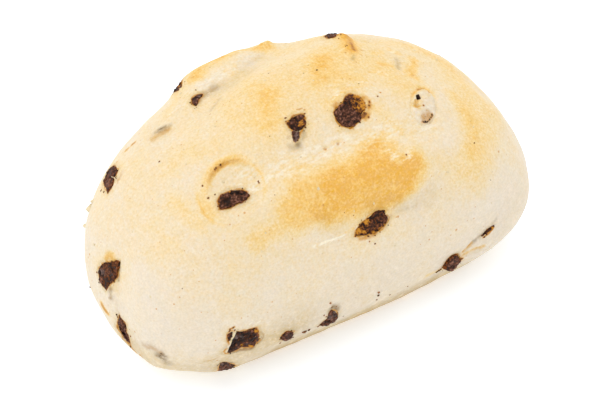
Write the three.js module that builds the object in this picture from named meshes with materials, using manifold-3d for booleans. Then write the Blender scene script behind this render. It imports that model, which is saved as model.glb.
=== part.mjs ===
// A mini brioche with chocolate chips: an oval, free-baked loaf of one piece, flat where it
// stood on the tray, with every chip that shows in its crust set into a pocket of its own.
//
// Millimetres, +Z up. The loaf lies along X and stands on the plane z = 0. The origin is
// under the middle of the whole brioche, on that plane.
import * as THREE from 'three';
import { mergeVertices } from 'three/addons/utils/BufferGeometryUtils.js';
import Module from 'manifold-3d';

const wasm = await Module();
wasm.setup();

// Size of the loaf before its swells and furrows
const loafLength = 99.5;
const loafWidth = 60.5;
const loafHeight = 48.4;
const waistHeight = 14.8;     // level of the widest line
const undersideDepth = 23.7;  // how far below the waist the underside would reach, if it weren't flat

// Character of the loaf
const planFullness = 2.88;    // 2 is an ellipse seen from above, and more is squarer
const profileFullness = 2.07; // the same, seen from the side
const taper = 0.06;           // how much wider the +X end is than the middle, and the -X end narrower
const droop = 0.05;           // how much lower the +X end is than the middle, and the -X end higher
const bend = 6.1;             // how far both ends curve towards -Y, against the middle
const lean = 0.9;             // how far the crown leans towards +Y
const unevenness = 0.25;      // height of the slow waves that shaping by hand leaves
const skinDetail = 15;        // the skin starts from 20 faces, and each is cut into (detail + 1)² triangles

// Chips
const chipDetail = 1;
const chipLumps = 0.1;        // how far a chip strays from a smooth oval, as a share of its radius
const facePressed = 0.6;      // where the flattened outer face lies, as a share of the chip's half depth
const pocketGap = 0.3;        // clearance between a chip and its pocket
const pocketReach = 2.5;      // how far a pocket goes on past the chip's outer face, so that it is open

// Swells (height above 0) and furrows (below 0) follow a path of places on the skin. A place
// is [bearing, rise] in degrees: round the loaf from +X towards +Y, and up from its waist.
const relief = [
  { name: 'front swell', path: [[232, 43], [267, 50], [300, 47], [316, 41]], width: 6, height: 1.3 },
  { name: 'fold', path: [[244, 30], [262, 32], [279, 35], [295, 30], [309, 22]], width: 2.6, height: -0.9 },
  { name: 'top furrow', path: [[222, 57], [262, 64], [307, 57], [330, 40]], width: 4.6, height: -1.5 },
  { name: 'back swell', path: [[164, 76], [90, 84], [20, 70]], width: 8, height: 0.7 },
  { name: 'back crease', path: [[78, 58], [124, 65], [155, 58], [159, 44]], width: 3.4, height: -1.6 },
  { name: 'back flap', path: [[121, 47], [100, 50], [76, 49]], width: 4.8, height: 2.8 },
  { name: 'notch by the flap', path: [[59, 59]], width: 4.5, height: -0.9 },
  { name: 'crest bump', path: [[38, 50], [26, 55]], width: 4.2, height: 1.3 },
  { name: 'right shoulder', path: [[357, 21], [350, 11]], width: 9, height: 1.2 },
  { name: 'far shoulder', path: [[21, 28], [13, 22]], width: 7, height: 0.5 },
  { name: 'hollow by the front swell', path: [[320, 42], [312, 30]], width: 4, height: -0.9 },
  { name: 'right hip', path: [[325, -5]], width: 12, height: 1 },
  { name: 'left foot', path: [[185, -9], [197, -8]], width: 7, height: 0.6 },
  { name: 'left end crease', path: [[182, 17], [184, 10], [187, 4], [190, -3]], width: 3, height: -1.3 },
  { name: 'front left pinch', path: [[228, 0], [219, -4], [209, -7]], width: 3, height: -0.8 },
  { name: 'right foot crease', path: [[304, -4], [317, 4], [323, 9]], width: 2.6, height: -0.8 },
  { name: 'burst bubble', path: [[208, 49]], width: 6, height: -1.1 },
  { name: 'thin blister', path: [[336, 46]], width: 3.6, height: -0.5 },
  { name: 'rear furrow', path: [[128, 20], [95, 28], [62, 24]], width: 5, height: -1.3 },
  { name: 'rear swell', path: [[118, 6], [85, 10], [52, 8]], width: 9, height: 1.1 },
  { name: 'right end dent', path: [[8, 4], [352, -2]], width: 6, height: -0.8 },
];

// Each chip's place on the skin, its own length, breadth and depth, how far its length is
// turned up from level in degrees, and how far its outer face stands proud of the skin.
const chips = [
  { name: 'chip_left_edge', place: [159, 25], size: [7.2, 5.2, 4.4], turn: 105, proud: 0.7 },
  { name: 'chip_left_end', place: [179, 11], size: [8, 5.8, 4.8], turn: 70, proud: 0.7 },
  { name: 'chip_end_crease', place: [186, -2], size: [8.8, 3.4, 4.4], turn: 112, proud: 0.4 },
  { name: 'chip_left_foot', place: [201, -1], size: [4.4, 3.4, 3.6], turn: 20, proud: 0.2 },
  { name: 'chip_front_left', place: [222, 2], size: [9, 7.6, 5], turn: 25, proud: 0.5 },
  { name: 'chip_sole_edge', place: [216, -10], size: [5.6, 4.6, 4.4], turn: 0, proud: 0.5 },
  { name: 'chip_front_small', place: [236, -4], size: [3.6, 2.8, 3], turn: 15, proud: 0.3 },
  { name: 'chip_front_veiled', place: [253, -4], size: [7.4, 4.4, 4.4], turn: 60, proud: 0.3 },
  { name: 'chip_front_right', place: [307, -6], size: [6.8, 4.8, 4.4], turn: 50, proud: 0.6 },
  { name: 'chip_right_sliver', place: [318, 2], size: [5.4, 2.6, 3.4], turn: 30, proud: 0.2 },
  { name: 'chip_fold', place: [278, 32], size: [9, 5.2, 5], turn: 15, proud: 0.3 },
  { name: 'chip_top_large', place: [311, 68], size: [7, 6, 5], turn: 0, proud: 0.6 },
  { name: 'chip_furrow', place: [246, 74], size: [6.4, 3.8, 4.2], turn: 90, proud: 0.4 },
  { name: 'chip_burst_bubble', place: [212, 44], size: [7.6, 4.8, 4.8], turn: 0, proud: 1 },
  { name: 'chip_blister', place: [332, 43], size: [4.4, 3, 3.6], turn: 0, proud: 0.2 },
  { name: 'chip_back_crease', place: [143, 55], size: [4.2, 3.6, 4], turn: 40, proud: 0.6 },
  { name: 'chip_back_edge', place: [130, 47], size: [5, 3.6, 4], turn: 20, proud: 0.4 },
  { name: 'chip_crest', place: [37, 51], size: [4.8, 3.8, 4], turn: 10, proud: 0.7 },
  { name: 'chip_shoulder', place: [154, 43], size: [4.4, 2.6, 3.2], turn: 60, proud: 0.1 },
  { name: 'chip_rear_high', place: [102, 24], size: [7.6, 6, 4.8], turn: 25, proud: 0.5 },
  { name: 'chip_rear_left', place: [136, 8], size: [6.8, 5.2, 4.6], turn: 70, proud: 0.6 },
  { name: 'chip_rear_right', place: [58, 14], size: [8.2, 5.6, 4.8], turn: 140, proud: 0.5 },
  { name: 'chip_rear_foot', place: [84, -8], size: [6.2, 4.8, 4.4], turn: 10, proud: 0.5 },
  { name: 'chip_right_end', place: [14, 18], size: [6.6, 5.4, 4.6], turn: 60, proud: 0.6 },
  { name: 'chip_sole_left', place: [205, -38], size: [6.4, 5.2, 4.4], turn: 30, proud: -0.1 },
  { name: 'chip_sole_right', place: [25, -32], size: [7.2, 5, 4.4], turn: 75, proud: -0.1 },
];

const crust = new THREE.MeshStandardMaterial({ name: 'crust', color: '#eed9ae', roughness: 0.6 });
const chocolate = new THREE.MeshStandardMaterial({ name: 'chocolate', color: '#3a2018', roughness: 0.5 });

// The loaf's core, from which places are seen
const core = new THREE.Vector3(0, 0, waistHeight);

// The direction from the core to a place.
function towards([bearing, rise]) {
  const round = THREE.MathUtils.degToRad(bearing);
  const up = THREE.MathUtils.degToRad(rise);
  return new THREE.Vector3(Math.cos(up) * Math.cos(round), Math.cos(up) * Math.sin(round), Math.sin(up));
}

// The skin's smooth form in a direction: a superellipsoid, tapered, drooped, leant and bent.
function smoothSkin(direction) {
  const halfLength = loafLength / 2;
  const halfWidth = loafWidth / 2;
  const crownDepth = loafHeight - waistHeight;
  const depth = direction.z > 0 ? crownDepth : undersideDepth;

  const lengthShare = Math.abs(direction.x / halfLength) ** planFullness;
  const widthShare = Math.abs(direction.y / halfWidth) ** planFullness;
  const planShare = (lengthShare + widthShare) ** (profileFullness / planFullness);
  const heightShare = Math.abs(direction.z / depth) ** profileFullness;
  const point = direction.clone().multiplyScalar((planShare + heightShare) ** (-1 / profileFullness));

  const along = point.x / halfLength;
  point.y *= 1 + taper * along;
  if (point.z > 0) point.z *= 1 - droop * along;
  point.y += lean * (point.z / crownDepth) - bend * (along ** 2 - 0.4);
  return point.add(core);
}

// How far a point is from a path of points.
function distanceToPath(point, path) {
  const nearest = new THREE.Vector3();
  let distance = point.distanceTo(path[0]);
  for (let i = 1; i < path.length; i++) {
    new THREE.Line3(path[i - 1], path[i]).closestPointToPoint(point, true, nearest);
    distance = Math.min(distance, point.distanceTo(nearest));
  }
  return distance;
}

const reliefPaths = relief.map(({ path, width, height }) => ({
  path: path.map((place) => smoothSkin(towards(place))),
  width,
  height,
}));

// The slow waves are 30 to 70 mm long and cross each other.
function waveAt({ x, y, z }) {
  return Math.sin(x / 7 + 1.3) * Math.sin(y / 6 + 0.4) + Math.sin(z / 5 + x / 11);
}

// How far the swells, furrows and slow waves move a point of the smooth skin outwards.
function reliefAt(point) {
  let offset = unevenness * waveAt(point);
  for (const { path, width, height } of reliefPaths) {
    offset += height * Math.exp(-((distanceToPath(point, path) / width) ** 2));
  }
  return offset;
}

function skin(direction) {
  const point = smoothSkin(direction);
  return point.addScaledVector(direction, reliefAt(point));
}

// The skin as baked: what would lie below the tray is flattened onto it.
function bakedSkin(place) {
  const point = skin(towards(place));
  return point.z < 0 ? point.lerp(core, point.z / (point.z - core.z)) : point;
}

// A piece's pose at a place: its X along the level line there, turned upwards, and its Z outwards.
function poseAt([bearing, rise], turn) {
  const step = 2;
  const level = bakedSkin([bearing + step, rise]).sub(bakedSkin([bearing - step, rise])).normalize();
  const upwards = bakedSkin([bearing, rise + step]).sub(bakedSkin([bearing, rise - step]));
  const outwards = level.clone().cross(upwards).normalize();
  const basis = new THREE.Matrix4().makeBasis(level, outwards.clone().cross(level), outwards);
  const turned = new THREE.Matrix4().makeRotationZ(THREE.MathUtils.degToRad(turn));
  return { origin: bakedSkin([bearing, rise]), outwards, basis: basis.multiply(turned) };
}

// Moves every vertex of a unit sphere to where a function of its direction says.
function shapedSphere(detail, shape) {
  const geometry = new THREE.IcosahedronGeometry(1, detail);
  const position = geometry.getAttribute('position');
  const direction = new THREE.Vector3();
  for (let i = 0; i < position.count; i++) {
    direction.fromBufferAttribute(position, i).normalize();
    position.setXYZ(i, ...shape(direction));
  }
  geometry.computeVertexNormals();
  return geometry;
}

// A chip, or its pocket: a lumpy oval with its outer face pressed flat. Grow makes it larger
// all round, and reach carries the outer face on outwards.
function chipGeometry([length, breadth, depth], seed, grow = 0, reach = 0) {
  const half = new THREE.Vector3(length, breadth, depth).divideScalar(2);
  const faceLevel = facePressed * half.z;
  return shapedSphere(chipDetail, (direction) => {
    const lumps = Math.sin(3 * direction.x + seed) + Math.sin(3.5 * direction.y + 2 * seed);
    const point = direction.clone().multiply(half).multiplyScalar(1 + chipLumps * lumps / 2);
    const onFace = point.z > faceLevel;
    point.z = Math.min(point.z, faceLevel);
    point.addScaledVector(direction, grow);
    if (onFace) point.z += reach;
    return point;
  });
}

function toSolid(geometry) {
  const bare = geometry.clone();
  bare.deleteAttribute('normal');
  bare.deleteAttribute('uv');
  const merged = mergeVertices(bare);
  const vertProperties = merged.getAttribute('position').array;
  const triVerts = Uint32Array.from(merged.index.array);
  return new wasm.Manifold(new wasm.Mesh({ numProp: 3, vertProperties, triVerts }));
}

function toGeometry(solid) {
  const { vertProperties, triVerts } = solid.getMesh();
  const geometry = new THREE.BufferGeometry();
  geometry.setAttribute('position', new THREE.BufferAttribute(vertProperties, 3));
  geometry.setIndex(new THREE.BufferAttribute(triVerts, 1));
  geometry.computeVertexNormals();
  return geometry;
}

function chipMesh({ name, place, size, turn, proud }, index) {
  const { origin, outwards, basis } = poseAt(place, turn);
  const mesh = new THREE.Mesh(chipGeometry(size, index), chocolate);
  mesh.name = name;
  mesh.position.copy(origin).addScaledVector(outwards, proud - facePressed * size[2] / 2);
  mesh.quaternion.setFromRotationMatrix(basis);
  mesh.updateMatrix();
  return mesh;
}

// The dough: the whole skin, cut flat by the tray and hollowed by a pocket for each chip.
function bunMesh(chipMeshes) {
  const tray = new THREE.BoxGeometry(2 * loafLength, 2 * loafWidth, 2 * undersideDepth);
  tray.translate(0, 0, -undersideDepth);
  let dough = toSolid(shapedSphere(skinDetail, skin)).subtract(toSolid(tray));
  chipMeshes.forEach((chip, index) => {
    const pocket = chipGeometry(chips[index].size, index, pocketGap, pocketReach);
    dough = dough.subtract(toSolid(pocket.applyMatrix4(chip.matrix)));
  });
  const mesh = new THREE.Mesh(toGeometry(dough), crust);
  mesh.name = 'bun';
  return mesh;
}

const loaf = new THREE.Group();
const chipMeshes = chips.map(chipMesh);
loaf.add(bunMesh(chipMeshes), ...chipMeshes);

// The bends and swells leave the loaf off centre, so it is moved to stand over the origin.
const middle = new THREE.Box3().setFromObject(loaf, true).getCenter(new THREE.Vector3());
loaf.position.set(-middle.x, -middle.y, 0);

const brioche = new THREE.Group();
brioche.name = 'brioche';
brioche.add(loaf);

export default brioche;
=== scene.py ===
# A small chocolate-chip brioche: its baked dough, the chips in its crust and the specks round them.
# Sizes are millimetres times mm. A place on the loaf is (bearing, rise) in degrees: round the loaf
# from +X towards +Y, and up from its waist, as seen from its core.
import math
import random

import bmesh
import bpy
import numpy as np
from mathutils import Matrix, Vector, noise
from mathutils.bvhtree import BVHTree


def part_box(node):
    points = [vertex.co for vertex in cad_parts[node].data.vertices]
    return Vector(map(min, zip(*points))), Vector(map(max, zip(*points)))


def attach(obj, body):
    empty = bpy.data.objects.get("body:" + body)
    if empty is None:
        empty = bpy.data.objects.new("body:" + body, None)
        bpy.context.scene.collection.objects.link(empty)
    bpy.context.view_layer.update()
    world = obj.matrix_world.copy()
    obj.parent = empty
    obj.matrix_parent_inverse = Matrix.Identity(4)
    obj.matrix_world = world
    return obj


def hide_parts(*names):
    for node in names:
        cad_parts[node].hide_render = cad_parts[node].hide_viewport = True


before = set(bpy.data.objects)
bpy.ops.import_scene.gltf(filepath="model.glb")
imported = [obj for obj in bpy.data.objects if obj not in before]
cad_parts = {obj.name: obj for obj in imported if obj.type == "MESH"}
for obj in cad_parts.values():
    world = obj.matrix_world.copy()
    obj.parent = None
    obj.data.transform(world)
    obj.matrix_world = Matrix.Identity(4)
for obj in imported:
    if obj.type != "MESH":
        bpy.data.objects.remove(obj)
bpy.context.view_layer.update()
mm = 0.001
lift = 0.03 * mm                  # the sole clears the table by this much
loafCore = Vector((0, -2.4, 14.8)) * mm
noise.seed_set(5)                 # the same unevenness each run
print("frame loaded:", len(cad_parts), "nodes")


# Camera, floor and light

camera = {
    "azimuth": -31.8,
    "elevation": 47.75,
    "distance": 600 * mm,
    "lens": 165.2,                # on a sensor 36 wide
    "aim": Vector((0, -2.4, 20)) * mm,
    "aimRight": 0.1 * mm,         # the loaf stands a little above the middle of the view
    "aimUp": -1.45 * mm,
    "nearest": 0.01,              # metres between which it sees
    "furthest": 20,
}


def viewAxes(azimuth, elevation):
    a, e = math.radians(azimuth), math.radians(elevation)
    back = Vector((math.sin(a) * math.cos(e), -math.cos(a) * math.cos(e), math.sin(e)))
    right = Vector((math.cos(a), math.sin(a), 0))
    return right, back.cross(right), back


def makeCamera():
    right, up, back = viewAxes(camera["azimuth"], camera["elevation"])
    target = camera["aim"] + right * camera["aimRight"] + up * camera["aimUp"]
    data = bpy.data.cameras.new("camera")
    data.lens = camera["lens"]
    data.clip_start = camera["nearest"]
    data.clip_end = camera["furthest"]
    shot = bpy.data.objects.new("camera", data)
    shot.location = target + back * camera["distance"]
    shot.rotation_mode = "QUATERNION"
    shot.rotation_quaternion = (-back).to_track_quat("-Z", "Y")
    bpy.context.collection.objects.link(shot)
    bpy.context.scene.camera = shot


def setSurface(surface, settings):
    for name, value in settings.items():
        surface.inputs[name].default_value = value


studio = {
    "sky": 0.97,                  # strength of the even white light
    "keyPower": 3.2,
    "keySize": 0.8,
    "keyFrom": (-0.3, 0.25, 1.0),
    "sidePower": 0.6,
    "sideSize": 0.6,
    "sideFrom": (0.95, 0.0, 0.35),
    "floorSize": 3,               # metres from its middle to its sides
    "paper": {
        "Base Color": (0.88, 0.92, 0.98, 1),
        "Roughness": 0.9,
        "Emission Color": (0.92, 0.96, 1, 1),
        "Emission Strength": 0.33,    # a lit white table, so that shadows on it stay faint
    },
}


def makeSky():
    world = bpy.data.worlds.new("studio")
    world.use_nodes = True
    sky = world.node_tree.nodes["Background"]
    sky.inputs["Color"].default_value = (1, 1, 1, 1)
    sky.inputs["Strength"].default_value = studio["sky"]
    bpy.context.scene.world = world
    bpy.context.scene.view_settings.view_transform = "Standard"


def makeLamps():
    for name in ("key", "side"):
        lamp = bpy.data.lights.new(name, "AREA")
        lamp.size = studio[name + "Size"]
        lamp.energy = studio[name + "Power"]
        source = bpy.data.objects.new(name, lamp)
        source.location = studio[name + "From"]
        source.rotation_mode = "QUATERNION"
        source.rotation_quaternion = (-Vector(studio[name + "From"])).to_track_quat("-Z", "Y")
        bpy.context.collection.objects.link(source)


def makePaper():
    paper = bpy.data.materials.new("white paper")
    paper.use_nodes = True
    nodes, links = paper.node_tree.nodes, paper.node_tree.links
    surface = nodes["Principled BSDF"]
    setSurface(surface, studio["paper"])
    side = nodes.new("ShaderNodeNewGeometry")
    clear = nodes.new("ShaderNodeBsdfTransparent")
    either = nodes.new("ShaderNodeMixShader")
    links.new(side.outputs["Backfacing"], either.inputs[0])   # the sole shows through from below
    links.new(surface.outputs[0], either.inputs[1])
    links.new(clear.outputs[0], either.inputs[2])
    links.new(either.outputs[0], nodes["Material Output"].inputs["Surface"])
    return paper


def makeFloor():
    shape = bmesh.new()
    bmesh.ops.create_grid(shape, x_segments=1, y_segments=1, size=studio["floorSize"])
    mesh = bpy.data.meshes.new("floor")
    shape.to_mesh(mesh)
    shape.free()
    mesh.materials.append(makePaper())
    floor = bpy.data.objects.new("floor", mesh)
    bpy.context.collection.objects.link(floor)


makeCamera()
makeSky()
makeLamps()
makeFloor()
print("camera, floor and light made")


# Places and shapes on the crust

seenRight, seenUp, seenBack = viewAxes(camera["azimuth"], camera["elevation"])


def towards(place):
    bearing, rise = (math.radians(angle) for angle in place)
    level = math.cos(rise)
    return Vector((level * math.cos(bearing), level * math.sin(bearing), math.sin(rise)))


def treeOf(piece):
    corners = [vertex.co.copy() for vertex in piece.data.vertices]
    return BVHTree.FromPolygons(corners, [face.vertices[:] for face in piece.data.polygons])


def readPoints(mesh):
    points = np.empty(len(mesh.vertices) * 3)
    mesh.vertices.foreach_get("co", points)
    return points.reshape(-1, 3)


def readNormals(mesh):
    normals = np.empty(len(mesh.vertices) * 3)
    mesh.vertex_normals.foreach_get("vector", normals)
    return normals.reshape(-1, 3)


def writePoints(mesh, points):
    mesh.vertices.foreach_set("co", points.ravel())
    mesh.update()


def readAttribute(mesh, name):
    values = np.empty(len(mesh.vertices))
    mesh.attributes[name].data.foreach_get("value", values)
    return values


def writeAttribute(mesh, name, values):
    attribute = mesh.attributes.new(name, "FLOAT", "POINT")
    attribute.data.foreach_set("value", np.clip(values, 0, 1).astype(np.float32))


def bell(distance, width):
    return np.exp(-((distance / width) ** 2))


def step(value, start, end):
    share = np.clip((value - start) / (end - start), 0, 1)
    return share * share * (3 - 2 * share)


def noiseAt(points, wavelength):
    return np.array([noise.noise_vector(Vector(point) / (wavelength * mm)) for point in points])


# The bare dough: the CAD bun with its pockets closed and its facets smoothed away

dough = {
    "weld": 0.001 * mm,           # corners closer than this are one
    "pocketReach": 0.45 * mm,     # pocket walls lie no further than this from their chip
    "boxMargin": 1 * mm,          # nor further than this outside its box
    "voxel": 0.74 * mm,
    "smoothing": 0.5,
    "smoothings": 26,
    "rounding": 0.12 * mm,        # smoothing draws the crust in by about this much
}

chipNames = [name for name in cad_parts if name.startswith("chip_")]


def looseCopy(node):
    shape = bmesh.new()
    shape.from_mesh(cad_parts[node].data)
    bmesh.ops.remove_doubles(shape, verts=shape.verts, dist=dough["weld"])
    return shape


def closePockets(shape):
    for name in chipNames:
        chip = looseCopy(name)
        tree = BVHTree.FromBMesh(chip)
        chip.free()
        low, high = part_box(name)
        reach, margin = dough["pocketReach"], dough["boxMargin"]
        walls = []
        for face in shape.faces:
            middle = face.calc_center_median()
            if all(low[i] - margin < middle[i] < high[i] + margin for i in range(3)):
                if all(tree.find_nearest(v.co, reach)[0] for v in face.verts):
                    walls.append(face)
        bmesh.ops.delete(shape, geom=walls, context="FACES")
    rims = [edge for edge in shape.edges if edge.is_boundary]
    bmesh.ops.holes_fill(shape, edges=rims, sides=0)
    bmesh.ops.triangulate(shape, faces=[face for face in shape.faces if len(face.verts) > 3])


def addObject(name, mesh):
    piece = bpy.data.objects.new(name, mesh)
    bpy.context.collection.objects.link(piece)
    return piece


def applyModifiers(piece):
    depsgraph = bpy.context.evaluated_depsgraph_get()
    finished = bpy.data.meshes.new_from_object(piece.evaluated_get(depsgraph))
    finished.name = piece.name
    piece.modifiers.clear()
    old = piece.data
    piece.data = finished
    bpy.data.meshes.remove(old)


def makeDough():
    shape = looseCopy("bun")
    closePockets(shape)
    mesh = bpy.data.meshes.new("brioche_crust")
    shape.to_mesh(mesh)
    shape.free()
    crust = addObject("brioche_crust", mesh)
    remesh = crust.modifiers.new("even skin", "REMESH")
    remesh.mode = "VOXEL"
    remesh.voxel_size = dough["voxel"]
    smooth = crust.modifiers.new("no facets", "SMOOTH")
    smooth.factor = dough["smoothing"]
    smooth.iterations = dough["smoothings"]
    applyModifiers(crust)
    points = readPoints(crust.data) + readNormals(crust.data) * dough["rounding"]
    points[:, 2] = np.maximum(points[:, 2], 0)
    writePoints(crust.data, points)
    return crust


crust = makeDough()
crustTree = treeOf(crust)
print("dough:", len(crust.data.vertices), "vertices")


tiny = 1e-9                       # keeps a division safe
wellClear = 30                    # millimetres off the crust, from where it is looked for


def onCrust(place):
    return crustTree.ray_cast(loafCore, towards(place))[:2]


def beside(seat, right, up):
    # the crust that shows at a place right and up of the seat, in millimetres
    start = seat["at"] + (seat["right"] * right + seat["up"] * up) * mm
    point, normal = crustTree.ray_cast(start + seat["back"] * wellClear * mm, -seat["back"])[:2]
    if point is None:             # past the loaf's edge
        point, normal = crustTree.find_nearest(start)[:2]
    return point, normal


def makeSeat(point, normal, seen=True):
    # a point on the crust with its own right and up: as seen from the front left, or else straight on
    seat = {"at": point, "out": normal, "right": seenRight, "up": seenUp, "back": seenBack}
    if not seen:
        seat["back"] = normal
        upwards = Vector((0, 1, 0)) if abs(normal.z) > 0.9 else Vector((0, 0, 1))
        seat["right"] = upwards.cross(normal).normalized()
        seat["up"] = normal.cross(seat["right"])
    return seat


# Chocolate chips: each is the CAD chip, flattened level with the crust and drawn out to its outline

chocolate = {
    "levels": 3,
    "longest": 0.4,               # edges longer than this are split
    "splits": 3,                  # this many times over
    "boxiness": 6,                # 2 is an ellipsoid, and more is flatter on top
    "proud": 0.3,                 # how far it stands out of the crust
    "search": 4,                  # the crust is looked for this far above and below the chip
    "lumps": (1.8, 0.36),         # wavelength and height of each size of unevenness
    "grains": (0.75, 0.34),
    "dust": (0.33, 0.13),
    "fullSize": 9,                # a chip with a shorter diagonal is less uneven
    "brightness": 0.55,
    "lumpShade": 0.35,            # painted light and shade: how much brighter each size of unevenness is on its tops, and darker in its hollows
    "grainShade": 0.7,
    "dustShade": 2.2,
    "edge": (0.7, 0.97),          # where the painted shade at the edge starts and is full, 1 being the widest part
    "edgeShade": (0.2, 0.25),     # painted shade: how much darker the edge is all round, and further at the top
    "top": (0.1, 0.9),            # how far up the outline that starts and is full
    "rim": (0.64, 0.9),           # where the rusty rim starts and is full
}

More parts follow.
